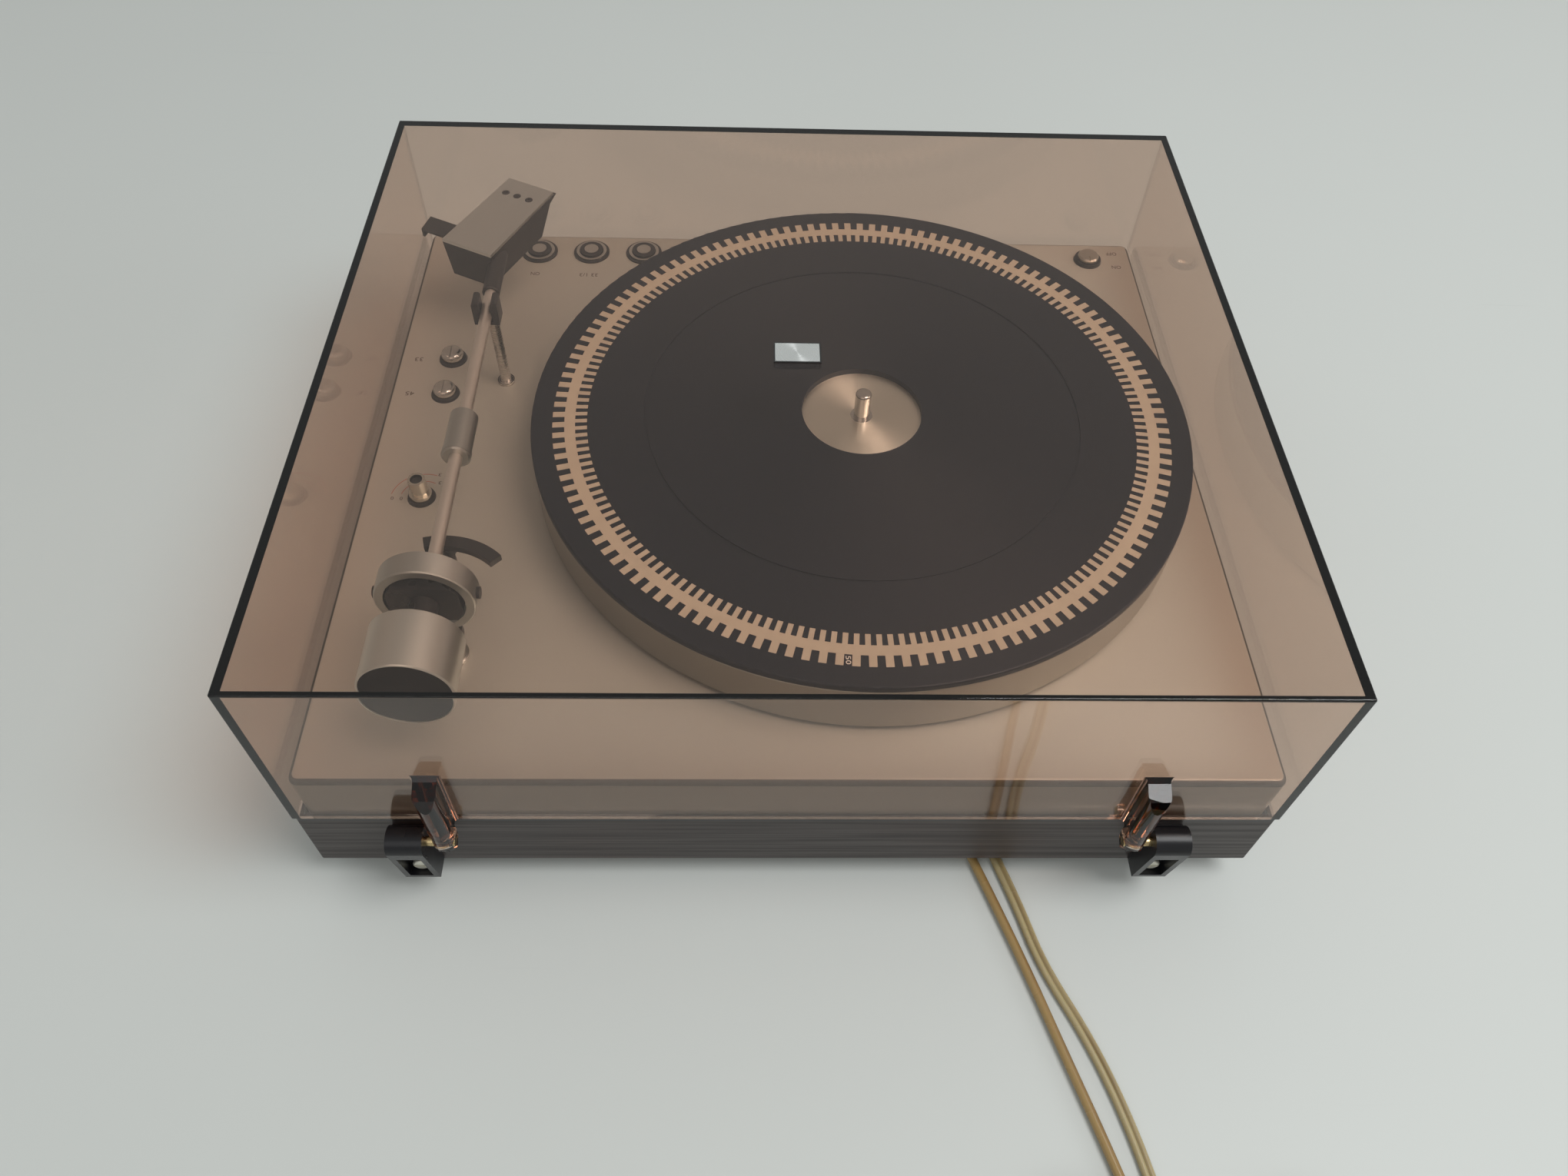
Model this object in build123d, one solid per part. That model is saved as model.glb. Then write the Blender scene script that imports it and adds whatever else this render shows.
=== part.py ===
from build123d import *
import math
import os

# Belt drive turntable in millimetres, +Z up, its front towards -Y.
# Pieces are drawn about the middle of the plinth, with the floor at zero. When they are written
# they move by body_y, so that the origin lies under the middle of the whole turntable.

# Fits
running_fit = 0.05
seat_gap = 0.3
overrun = 5.0

# Outer sizes, laid out round the platter
platter_radius = 147.0
platter_left_margin = 14.5
platter_right_margin = 79.5
platter_front_margin = 17.0
platter_rear_margin = 27.0
plinth_width = platter_left_margin + 2 * platter_radius + platter_right_margin
plinth_depth = platter_front_margin + 2 * platter_radius + platter_rear_margin
half_width = plinth_width / 2
half_depth = plinth_depth / 2

# Plinth, base board and feet
plinth_height = 35.0
plinth_wall = 12.0
plinth_edge_radius = 1.0
trim_width = 3.3
trim_height = 2.7
trim_edge_radius = 1.0
foot_height = 15.0
foot_radius = 19.0
foot_draft = 2.0
foot_edge_radius = 1.5
foot_inset = 32.0
base_board_thickness = 4.0

# Deck pan
deck_side_inset = 3.5
deck_end_inset = 4.0
deck_width = plinth_width - 2 * deck_side_inset
deck_depth = plinth_depth - 2 * deck_end_inset
deck_rise = 27.8
deck_sheet = 1.5
deck_edge_radius = 2.5
deck_corner_radius = 4.0

# Platter, mat and spindle
platter_x = platter_left_margin + platter_radius - half_width
platter_y = platter_front_margin + platter_radius - half_depth
platter_lift = 2.2
platter_height = 21.5
platter_rim_wall = 6.0
platter_top_thickness = 4.0
platter_edge_radius = 1.0
mat_thickness = 2.9
mat_hole_radius = 27.0
mat_groove_radius = 97.0
mat_groove_width = 1.4
mat_groove_depth = 0.6
mat_edge_radius = 0.8
record_thickness = 1.8
spindle_radius = 3.55
spindle_rise = 10.6
spindle_tip_radius = 1.2
shaft_radius = 5.0
shaft_end_radius = 1.5

# Sub-platter, belt, pulley and motor
sub_platter_radius = 80.0
sub_platter_height = 12.5
sub_platter_rim_wall = 5.0
sub_platter_web = 4.0
sub_platter_hub_radius = 15.0
belt_width = 5.0
belt_thickness = 0.8
pulley_side_share = 85 / 147
pulley_front_share = 70 / 147
pulley_x = platter_x - pulley_side_share * platter_radius
pulley_y = platter_y - pulley_front_share * platter_radius
pulley_radius = 8.0
pulley_flange_height = 1.5
pulley_flange_thickness = 1.2
pulley_hub_radius = 5.0
pulley_hub_length = 7.0
motor_shaft_radius = 1.5
motor_radius = 25.0
motor_height = 40.0
motor_edge_radius = 1.5
motor_boss_radius = 6.0
motor_bore_depth = 18.0
motor_bracket_width = 66.0
motor_bracket_thickness = 2.3

# Chassis plate, its grommets and the platter's bearing
chassis_gap = 13.8
chassis_thickness = 2.5
chassis_left_reach = 46.0
chassis_right_reach = 14.0
chassis_front_reach = 75.0
chassis_rear_reach = 42.0
chassis_corner_radius = 8.0
grommet_radius = 7.0
grommet_waist = 1.5
grommet_inset = 12.0
grommet_band_share = 1 / 3
bearing_barrel_radius = 11.0
bearing_flange_radius = 22.0
bearing_flange_thickness = 4.0
bearing_length = 50.0
bearing_floor = 4.0
bearing_top_gap = 1.0

# Transformer and circuit board
transformer_side_inset = 54.0
transformer_rear_inset = 69.0
transformer_x = transformer_side_inset - half_width
transformer_y = half_depth - transformer_rear_inset
core_width = 50.0
core_depth = 22.0
core_height = 40.0
winding_width = 32.0
winding_depth = 42.0
winding_height = 28.0
transformer_foot_width = 66.0
transformer_foot_thickness = 1.5
board_side_inset = 44.0
board_front_inset = 17.0
board_width = 92.0
board_depth = 56.0
board_right = half_width - board_side_inset
board_left = board_right - board_width
board_front = board_front_inset - half_depth
board_rear = board_front + board_depth
board_thickness = 1.6
board_rise = 15.0
board_post_radius = 3.0
board_post_inset = 6.0
board_chip_width = 20.0
board_chip_height = 4.0
board_can_radius = 6.0
board_can_height = 16.0

# Push buttons and the switches below them
button_insets = [(63.0, 19.0), (90.7, 18.8), (118.7, 18.6)]
button_places = [(half_width - side, front - half_depth) for side, front in button_insets]
button_names = ["start_button", "speed_button_33", "speed_button_45"]
button_radius = 6.1
button_cap_radius = 3.7
button_cap_rise = 0.3
button_rise = 2.4
button_height = 6.0
button_stem_radius = 2.5
button_stem_length = 13.0
button_travel = 1.2
button_ring_radius = 9.5
button_ring_height = 0.7
button_collar_radius = 8.0
button_collar_rise = 1.6
switch_bank_depth = 22.0
switch_bank_height = 18.0
switch_bank_margin = 12.0

# Knobs: place, ring radius, knob radius and height above the deck, and how far the ring stands up
knob_bush_radius = 4.4
knob_bush_length = 9.0
knob_shaft_radius = 3.0
knob_shaft_length = 8.0
knob_ring_lip = 0.5
power_side_inset = 28.2
power_front_inset = 18.7
power_x = power_side_inset - half_width
power_y = power_front_inset - half_depth
power_ring_radius = 7.5
power_ring_height = 1.6
power_knob_radius = 5.6
power_knob_rise = 3.9
power_knob_edge = 0.8
power_slot_start_share = 1 / 3
pitch_insets = [(30.1, 104.1), (30.2, 128.8)]
pitch_places = [(half_width - side, front - half_depth) for side, front in pitch_insets]
pitch_names = ["pitch_knob_33", "pitch_knob_45"]
pitch_ring_radius = 6.8
pitch_ring_height = 1.2
pitch_knob_radius = 5.3
pitch_knob_rise = 5.2
pitch_knob_dome = 2.2
pitch_slot_share = 1 / 5
bias_side_inset = 30.3
bias_rear_inset = 143.0
bias_x = half_width - bias_side_inset
bias_y = half_depth - bias_rear_inset
bias_ring_radius = 6.3
bias_ring_height = 1.4
bias_knob_radius = 3.9
bias_knob_rise = 11.9
bias_knob_sides = 12
bias_knob_hollow_radius = 2.6
bias_knob_hollow_depth = 1.6
bias_knob_skirt_radius = 5.0
bias_knob_skirt_height = 2.0

# Tonearm
arm_side_inset = 55.7
arm_rear_inset = 59.0
arm_x = half_width - arm_side_inset
arm_y = half_depth - arm_rear_inset
arm_rise = 41.7
arm_tube_radius = 2.7
arm_tube_bore = 2.1
arm_tube_front_inset = 94.0
arm_tube_front_y = arm_tube_front_inset - half_depth
gimbal_radius = 18.65
gimbal_opening_radius = 15.1
gimbal_depth = 10.0
gimbal_edge = 0.5
gimbal_boss_radius = 6.5
gimbal_boss_drop = 3.4
pivot_block_radius = 14.4
pivot_block_depth = 12.0
pivot_block_half_width = 13.5
pivot_block_half_height = 9.5
pivot_gap = 0.3
pivot_screw_radius = 1.8
pivot_head_radius = 2.4
pivot_head_height = 1.2
yaw_shaft_radius = 4.0
yaw_shaft_length = 31.0
yaw_shaft_seat = 4.5
pillar_radius = 7.0
pillar_head_radius = 8.6
pillar_head_height = 5.5
pillar_flange_radius = 8.0
pillar_flange_height = 1.5
pillar_edge = 0.6
pillar_top_gap = 0.5
stub_radius = 5.5
stub_reach = 31.0
stub_end_y = arm_y + stub_reach
weight_radius = 17.3
weight_gap = 20.0
weight_length = 24.0
weight_front_y = arm_y + weight_gap
weight_rear_y = weight_front_y + weight_length
weight_edge = 0.4
weight_bore_depth = 20.5
weight_cap_radius = 16.4
weight_cap_thickness = 1.6
weight_cap_recess = 0.4
collar_radius = 5.8
collar_gap = 69.0
collar_length = 24.0
collar_rear_y = arm_y - collar_gap
collar_front_y = collar_rear_y - collar_length
collar_ring_length = 3.0
collar_ring_step = 0.3
collar_edge = 0.6

# Headshell, cartridge and finger lift, drawn along -Y and turned by headshell_angle
headshell_side_step = 1.4
headshell_front_inset = 56.5
headshell_x = arm_x + headshell_side_step
headshell_y = headshell_front_inset - half_depth
headshell_angle = -26.0
headshell_top_rise = 7.5
headshell_half_length = 28.0
headshell_rear_half_width = 13.6
headshell_front_half_width = 12.75
headshell_foot_half_width = 11.0
plate_thickness = 1.5
plate_screw_radius = 2.0
plate_screw_forward = 17.0
plate_screw_sides = [7.5, 1.0, -5.8]
plate_screw_depth = 0.4
body_front_rim = 1.7
body_height = 17.5
body_floor_forward = 16.0
body_shoulder_forward = 24.0
body_shoulder_drop = 2.5
body_side_rim = 0.6
neck_radius = 4.0
neck_gap = 19.5
neck_length = 30.0
neck_front_y = headshell_y + neck_gap
neck_rear_y = neck_front_y + neck_length
neck_edge = 0.5
cartridge_pocket_half_width = 8.5
cartridge_pocket_front = 12.0
cartridge_pocket_rear = 14.0
cartridge_pocket_depth = 12.0
cartridge_drop = 0.5
stylus_forward = 9.0
stylus_arm_length = 8.0
stylus_arm_radius = 0.35
stylus_tip_radius = 0.25
stylus_point_share = 1 / 3
lift_tab_front_y = 16.0
lift_tab_rear_y = 26.0
lift_tab_rear_reach = 13.2
lift_tab_front_reach = 15.2
lift_tab_thickness = 1.2
lift_tab_hook = 3.0

# Arm rest
rest_side_step = 2.4
rest_front_inset = 119.6
rest_x = arm_x - rest_side_step
rest_y = rest_front_inset - half_depth
rest_post_radius = 2.45
rest_flange_radius = 4.0
rest_flange_height = 1.5
rest_tail_radius = 1.5
rest_tail_length = 6.0
clip_base_thickness = 1.6
clip_depth = 8.5
clip_forward = 1.5
clip_prong_width = 3.0
clip_rise_past_tube = 4.5
clip_tip_radius = 1.1

# Cueing arm
cue_arc_outer = 33.0
cue_arc_inner = 27.6
cue_arc_thickness = 3.0
cue_arc_drop = 6.5
cue_arc_right_angle = 15.0
cue_arc_left_angle = 45.0
cue_shaft_angle = 2.0
cue_shaft_radius = 1.8
cue_hub_radius = 3.2
cue_hub_depth = 3.0
cue_shaft_tail = 9.0
cue_bush_radius = 4.0
cue_bush_rise = 5.0
cue_bush_tail = 8.0
cue_bush_wall_share = 1 / 3

# Dust cover and its badge
lid_side_overhang = 1.0
lid_end_overhang = 0.65
lid_width = plinth_width + 2 * lid_side_overhang
lid_depth = plinth_depth + 2 * lid_end_overhang
lid_head_room = 1.85
lid_wall = 3.0
lid_edge_radius = 0.8
badge_x = -1.95
badge_y = -0.35
badge_width = 20.1
badge_depth = 12.5
badge_thickness = 0.4

# Hinges
hinge_side_inset = 43.6
hinge_x = half_width - hinge_side_inset
hinge_block_width = 14.2
hinge_flange = 2.4
hinge_block_radius = 6.2
hinge_block_foot_reach = 8.7
hinge_block_foot_y = half_depth + hinge_block_foot_reach
hinge_block_foot_rise = 1.0
hinge_recess_rise = 25.0
hinge_back = 5.0
hinge_foot_rim = 2.4
pin_reach = 7.2
pin_y = half_depth + pin_reach
pin_drop = 3.0
pin_radius = 2.0
lug_side_step = 14.4
lug_x = hinge_x - lug_side_step
lug_width = 8.8
lug_radius = 4.0
lug_wing_width = 13.0
lug_wing_depth = 1.8
lug_bend_share = 1 / 4
lug_height = 35.5
lug_shoulder_drops = [1.5, 4.5, 10.5]
lug_shoulder_reaches = [2.0, 8.3]
hinge_screw_radius = 3.4
hinge_screw_head = 1.8
hinge_screw_shank_radius = 1.6
hinge_screw_shank = 12.0
hinge_screw_slot = 0.9
hinge_screw_slot_depth = 0.7
hinge_screw_rises = [6.5, 16.5]

# Cords: round signal lead, flat twin mains lead, their coils and plugs
floor_gap = 0.1
signal_lead_width = 4.0
signal_lead_height = 4.0
mains_lead_width = 5.0
mains_lead_height = 2.8
wire_gap = 0.6
bend_share = 0.45
gland_length = 12.0
gland_width = 11.0
sleeve_length = 22.0
sleeve_root_radius = 4.6
sleeve_tip_radius = 3.2
signal_coil_radius = 30.1
signal_coil_whole_turns = 6
signal_coil_sense = -1
signal_coil_end_heading = 0.0
mains_coil_radius = 37.1
mains_coil_whole_turns = 6
mains_coil_sense = 1
mains_coil_end_heading = 180.0
gap_step = 1.5
signal_plug_boot_length = 13.0
signal_plug_boot_tip = 2.9
signal_plug_boot_share = 3 / 4
signal_plug_grip_length = 24.0
signal_plug_shell_length = 11.0
signal_plug_shell_wall = 0.6
signal_plug_pin_radius = 0.7
signal_plug_pin_ring = 3.2
signal_plug_pins = 5
signal_plug_pin_angle = 45.0
signal_plug_ribs = 6
signal_plug_rib_step = 0.35
mains_plug_width = 24.0
mains_plug_thickness = 16.0
mains_plug_length = 32.0
mains_plug_edge = 3.0
mains_plug_boot_length = 12.0
mains_plug_boot_margin = 1.2
mains_blade_width = 6.3
mains_blade_thickness = 1.5
mains_blade_length = 17.0
mains_blade_spacing = 12.7

# Routes of the two leads from their glands to their coils, in the written frame
signal_route = [
    (-62.4, 108.0, 8.0),
    (-68.0, 123.4, 8.0),
    (-77.4, 150.4, 2.1),
    (-86.9, 176.2, 2.1),
    (-97.7, 207.8, 2.1),
    (-106.6, 236.7, 2.1),
    (-117.4, 270.5, 2.1),
    (-127.2, 304.3, 2.1),
]
mains_route = [
    (-74.6, 108.0, 8.0),
    (-79.8, 123.6, 8.0),
    (-88.2, 151.0, 1.5),
    (-97.2, 178.0, 1.5),
    (-103.8, 204.0, 1.5),
    (-118.6, 234.0, 1.5),
    (-128.6, 264.5, 1.5),
    (-135.6, 299.5, 1.5),
    (-148.3, 332.8, 1.5),
]

# Heights and places that follow from the sizes above
hinge_reach = pin_y + hinge_block_radius
body_y = -(hinge_reach - lid_depth / 2) / 2
plinth_top = foot_height + plinth_height
trim_top = plinth_top + trim_height
board_top = foot_height + base_board_thickness
deck_top = plinth_top + deck_rise
deck_under = deck_top - deck_sheet
platter_bottom = deck_top + platter_lift
platter_top = platter_bottom + platter_height
platter_under = platter_top - platter_top_thickness
mat_top = platter_top + mat_thickness
record_top = mat_top + record_thickness
spindle_top = mat_top + spindle_rise
sub_platter_bottom = platter_under - sub_platter_height
belt_middle = (sub_platter_bottom + platter_under) / 2
chassis_top = deck_under - chassis_gap
chassis_bottom = chassis_top - chassis_thickness
bearing_top = sub_platter_bottom - bearing_top_gap
bearing_bottom = bearing_top - bearing_length
motor_top = deck_under - motor_bracket_thickness
arm_z = deck_top + arm_rise
gimbal_boss_bottom = arm_z - gimbal_radius - gimbal_boss_drop
pillar_top = gimbal_boss_bottom - pillar_top_gap
yaw_shaft_top = gimbal_boss_bottom + yaw_shaft_seat
yaw_shaft_bottom = yaw_shaft_top - yaw_shaft_length
headshell_top = arm_z + headshell_top_rise
plate_bottom = headshell_top - plate_thickness
body_bottom = plate_bottom - body_height
cartridge_bottom = body_bottom - cartridge_drop
cue_arc_top = arm_z - cue_arc_drop
cue_arc_bottom = cue_arc_top - cue_arc_thickness
rest_post_top = arm_z - arm_tube_radius - seat_gap - clip_base_thickness
lid_bottom = trim_top + seat_gap
lid_top = arm_z + gimbal_radius + lid_head_room + lid_wall
lid_height = lid_top - lid_bottom
lid_rear_y = lid_depth / 2
pin_z = plinth_top - pin_drop
signal_layer = signal_lead_height + wire_gap
signal_plug_radius = signal_lead_height / 2 + signal_layer
mains_plug_axis = floor_gap + mains_plug_thickness / 2

RISING = (Align.CENTER, Align.CENTER, Align.MIN)
CORNER = (Align.MIN, Align.MIN, Align.MIN)


def rod(radius, low, high, x=0, y=0):
    """An upright cylinder between two heights."""
    return Pos(x, y, low) * Cylinder(radius, high - low, align=RISING)


def cone(low_radius, high_radius, low, high, x=0, y=0):
    """An upright cone between two heights."""
    return Pos(x, y, low) * Cone(low_radius, high_radius, high - low, align=RISING)


def rod_y(radius, near, far, x, z):
    """A cylinder along Y between two places."""
    return Pos(x, near, z) * Rot(-90, 0, 0) * Cylinder(radius, far - near, align=RISING)


def rod_x(radius, left, right, y, z):
    """A cylinder along X between two places."""
    return Pos(left, y, z) * Rot(0, 90, 0) * Cylinder(radius, right - left, align=RISING)


def block(low, high):
    """A box between two corners."""
    sides = [far - near for near, far in zip(low, high)]
    return Pos(*low) * Box(*sides, align=CORNER)


def top_edges(shape):
    """The edges round the highest face."""
    return shape.faces().sort_by(Axis.Z)[-1].edges()


def upright_edges(shape):
    """The edges that run straight up."""
    return shape.edges().filter_by(Axis.Z)


def write(node, *solids, moved=True):
    """Writes one node as a STEP file, moved to the written frame unless it is there already."""
    placed = [Pos(0, body_y if moved else 0, 0) * solid for solid in solids]
    whole = placed[0] if len(placed) == 1 else Compound(children=placed)
    export_step(whole, os.path.join("parts", node + ".step"))


def plinth_frame():
    """The veneered frame, open above and below."""
    outer = Pos(0, 0, foot_height) * Box(plinth_width, plinth_depth, plinth_height, align=RISING)
    outer = fillet(upright_edges(outer), plinth_edge_radius)
    inner_width = plinth_width - 2 * plinth_wall
    inner_depth = plinth_depth - 2 * plinth_wall
    inner_height = plinth_height + 2 * overrun
    inner = Pos(0, 0, foot_height - overrun) * Box(inner_width, inner_depth, inner_height, align=RISING)
    return outer - inner


def plinth_trim():
    """The black ring on the plinth's top edge."""
    ring = Pos(0, 0, plinth_top) * Box(plinth_width, plinth_depth, trim_height, align=RISING)
    ring = fillet(upright_edges(ring), trim_edge_radius)
    ring = fillet(top_edges(ring), trim_edge_radius)
    inner_width = plinth_width - 2 * trim_width
    inner_depth = plinth_depth - 2 * trim_width
    inner = Pos(0, 0, plinth_top - overrun) * Box(
        inner_width, inner_depth, trim_height + 2 * overrun, align=RISING
    )
    return ring - inner


def base_board():
    """The board that closes the plinth from below, inside its walls."""
    width = plinth_width - 2 * plinth_wall - 2 * seat_gap
    depth = plinth_depth - 2 * plinth_wall - 2 * seat_gap
    return Pos(0, 0, foot_height) * Box(width, depth, base_board_thickness, align=RISING)


def rubber_feet():
    """Four turned feet under the base board's corners."""
    feet = []
    for side in (-1, 1):
        for end in (-1, 1):
            x = side * (half_width - foot_inset)
            y = end * (half_depth - foot_inset)
            foot = cone(foot_radius - foot_draft, foot_radius, 0, foot_height, x, y)
            foot = fillet(foot.faces().sort_by(Axis.Z)[0].edges(), foot_edge_radius)
            feet.append(foot)
    return feet


def deck_holes():
    """Where the deck is pierced, as x, y and radius."""
    holes = [
        (platter_x, platter_y, bearing_barrel_radius + platter_lift),
        (pulley_x, pulley_y, motor_boss_radius + seat_gap),
        (arm_x, arm_y, pillar_radius + seat_gap),
        (*cue_shaft_place(), cue_bush_radius - cue_bush_wall() + seat_gap),
        (rest_x, rest_y, rest_tail_radius + seat_gap),
        (power_x, power_y, knob_bush_radius + running_fit),
        (bias_x, bias_y, knob_bush_radius + running_fit),
    ]
    holes += [(x, y, knob_bush_radius + running_fit) for x, y in pitch_places]
    holes += [(x, y, button_radius + seat_gap) for x, y in button_places]
    return holes


def deck_pan():
    """The aluminium tray that fills the plinth, with its skirts on the plinth's top."""
    outer = Pos(0, 0, plinth_top) * Box(deck_width, deck_depth, deck_rise, align=RISING)
    outer = fillet(upright_edges(outer), deck_corner_radius)
    outer = fillet(top_edges(outer), deck_edge_radius)
    inner_width = deck_width - 2 * deck_sheet
    inner_depth = deck_depth - 2 * deck_sheet
    inner_height = deck_rise - deck_sheet + overrun
    inner = Pos(0, 0, plinth_top - overrun) * Box(inner_width, inner_depth, inner_height, align=RISING)
    inner = fillet(upright_edges(inner), deck_corner_radius - deck_sheet)
    inner = fillet(top_edges(inner), deck_edge_radius - deck_sheet)
    pan = outer - inner
    for x, y, radius in deck_holes():
        pan -= rod(radius, deck_under - overrun, deck_top + overrun, x, y)
    return pan


def outer_platter():
    """The cast platter, hollow below, with the hole for the spindle."""
    whole = rod(platter_radius, platter_bottom, platter_top)
    whole = fillet(whole.edges().filter_by(GeomType.CIRCLE), platter_edge_radius)
    hollow = rod(platter_radius - platter_rim_wall, platter_bottom - overrun, platter_under)
    hole = rod(shaft_radius, platter_under - overrun, platter_top + overrun)
    return Pos(platter_x, platter_y, 0) * (whole - hollow - hole)


def platter_mat():
    """The rubber mat, with the label's hole and one wider groove."""
    mat = rod(platter_radius, platter_top, mat_top)
    mat = fillet(top_edges(mat), mat_edge_radius)
    mat -= rod(mat_hole_radius, platter_top - overrun, mat_top + overrun)
    groove_floor = mat_top - mat_groove_depth
    groove = rod(mat_groove_radius + mat_groove_width / 2, groove_floor, mat_top + overrun)
    groove -= rod(mat_groove_radius - mat_groove_width / 2, groove_floor - overrun, mat_top + 2 * overrun)
    return Pos(platter_x, platter_y, 0) * (mat - groove)


def spindle():
    """The platter's shaft, up to the platter's top, and the record pin above it, in one piece."""
    shaft = rod(shaft_radius, bearing_bottom + bearing_floor + running_fit, platter_top)
    shaft = fillet(shaft.faces().sort_by(Axis.Z)[0].edges(), shaft_end_radius)
    pin = rod(spindle_radius, platter_top, spindle_top)
    pin = fillet(top_edges(pin), spindle_tip_radius)
    return Pos(platter_x, platter_y, 0) * (shaft + pin)


def sub_platter():
    """The inner platter, whose rim the belt drives, pressed on the shaft."""
    whole = rod(sub_platter_radius, sub_platter_bottom, platter_under)
    hollow = rod(
        sub_platter_radius - sub_platter_rim_wall,
        sub_platter_bottom - overrun,
        platter_under - sub_platter_web,
    )
    hub = rod(sub_platter_hub_radius, sub_platter_bottom, platter_under)
    bore = rod(shaft_radius, sub_platter_bottom - overrun, platter_under + overrun)
    return Pos(platter_x, platter_y, 0) * (whole - hollow + hub - bore)


def bearing_housing():
    """The bearing's barrel and flange, with a blind bore for the shaft."""
    barrel = rod(bearing_barrel_radius, bearing_bottom, bearing_top)
    flange = rod(bearing_flange_radius, chassis_top, chassis_top + bearing_flange_thickness)
    bore = rod(shaft_radius + running_fit, bearing_bottom + bearing_floor, bearing_top + overrun)
    return Pos(platter_x, platter_y, 0) * (barrel + flange - bore)


def chassis_corners():
    """The chassis plate's left, right, front and rear."""
    left = platter_x - chassis_left_reach
    right = arm_x + chassis_right_reach
    front = platter_y - chassis_front_reach
    rear = arm_y + chassis_rear_reach
    return left, right, front, rear


def chassis_plate():
    """The plate that carries the bearing and the arm's pillar."""
    left, right, front, rear = chassis_corners()
    plate = block((left, front, chassis_bottom), (right, rear, chassis_top))
    plate = fillet(upright_edges(plate), chassis_corner_radius)
    hole_radius = bearing_barrel_radius + seat_gap
    return plate - rod(hole_radius, chassis_bottom - overrun, chassis_top + overrun, platter_x, platter_y)


def chassis_grommets():
    """Four waisted rubber mounts between the chassis plate and the deck."""
    left, right, front, rear = chassis_corners()
    band = chassis_gap * grommet_band_share
    waist_low = chassis_top + band
    waist_high = deck_under - band
    grommets = []
    for x in (left + grommet_inset, right - grommet_inset):
        for y in (front + grommet_inset, rear - grommet_inset):
            grommet = rod(grommet_radius, chassis_top, deck_under, x, y)
            groove = rod(grommet_radius + overrun, waist_low, waist_high, x, y)
            core = rod(grommet_radius - grommet_waist, chassis_top, deck_under, x, y)
            grommets.append(grommet - (groove - core))
    return grommets


def loop_outline(large_radius, small_radius, spacing):
    """The face inside a loop that goes round two circles, the large one at the origin."""
    lean = math.acos((large_radius - small_radius) / spacing)
    across = (math.cos(lean), math.sin(lean))
    large = [(large_radius * across[0], side * large_radius * across[1]) for side in (1, -1)]
    small = [
        (spacing + small_radius * across[0], side * small_radius * across[1]) for side in (1, -1)
    ]
    edges = [
        Line(large[0], small[0]),
        ThreePointArc(small[0], (spacing + small_radius, 0), small[1]),
        Line(small[1], large[1]),
        ThreePointArc(large[1], (-large_radius, 0), large[0]),
    ]
    return make_face(edges)


def drive_belt():
    """The flat belt round the sub-platter and the pulley, a hair off both rims."""
    across_x = pulley_x - platter_x
    across_y = pulley_y - platter_y
    spacing = math.hypot(across_x, across_y)
    outer_step = seat_gap + belt_thickness
    outer = loop_outline(sub_platter_radius + outer_step, pulley_radius + outer_step, spacing)
    inner = loop_outline(sub_platter_radius + seat_gap, pulley_radius + seat_gap, spacing)
    belt = extrude(outer - inner, belt_width)
    turned = Rot(0, 0, math.degrees(math.atan2(across_y, across_x))) * belt
    return Pos(platter_x, platter_y, belt_middle - belt_width / 2) * turned


def motor_pulley():
    """The pulley with its two flanges, its hub and the motor's shaft."""
    low = belt_middle - belt_width / 2 - seat_gap
    high = belt_middle + belt_width / 2 + seat_gap
    flange_radius = pulley_radius + pulley_flange_height
    pulley = rod(pulley_radius, low, high)
    pulley += rod(flange_radius, low - pulley_flange_thickness, low)
    pulley += rod(flange_radius, high, high + pulley_flange_thickness)
    hub_bottom = low - pulley_flange_thickness - pulley_hub_length
    hub_bottom = max(hub_bottom, deck_top + seat_gap)
    pulley += rod(pulley_hub_radius, hub_bottom, low)
    shaft_bottom = motor_top - motor_bore_depth + seat_gap
    pulley += rod(motor_shaft_radius, shaft_bottom, hub_bottom)
    return Pos(pulley_x, pulley_y, 0) * pulley


def motor_body():
    """The motor's can with a boss and a bore for its shaft."""
    can = rod(motor_radius, motor_top - motor_height, motor_top)
    can = fillet(can.edges().filter_by(GeomType.CIRCLE), motor_edge_radius)
    can += rod(motor_boss_radius, motor_top - overrun, deck_under)
    bore_radius = motor_shaft_radius + running_fit
    can -= rod(bore_radius, motor_top - motor_bore_depth, deck_top + overrun)
    return Pos(pulley_x, pulley_y, 0) * can


def motor_bracket():
    """The plate that hangs the motor from the deck."""
    plate = Pos(0, 0, motor_top) * Box(
        motor_bracket_width, motor_bracket_width, motor_bracket_thickness, align=RISING
    )
    plate = fillet(upright_edges(plate), chassis_corner_radius)
    plate -= rod(motor_boss_radius + seat_gap, motor_top - overrun, deck_under + overrun)
    return Pos(pulley_x, pulley_y, 0) * plate


def transformer():
    """The mains transformer on the base board: core, windings and feet."""
    core = Box(core_width, core_depth, core_height, align=RISING)
    winding = Pos(0, 0, (core_height - winding_height) / 2) * Box(
        winding_width, winding_depth, winding_height, align=RISING
    )
    foot = Box(transformer_foot_width, core_depth, transformer_foot_thickness, align=RISING)
    return Pos(transformer_x, transformer_y, board_top) * (core + winding + foot)


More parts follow.
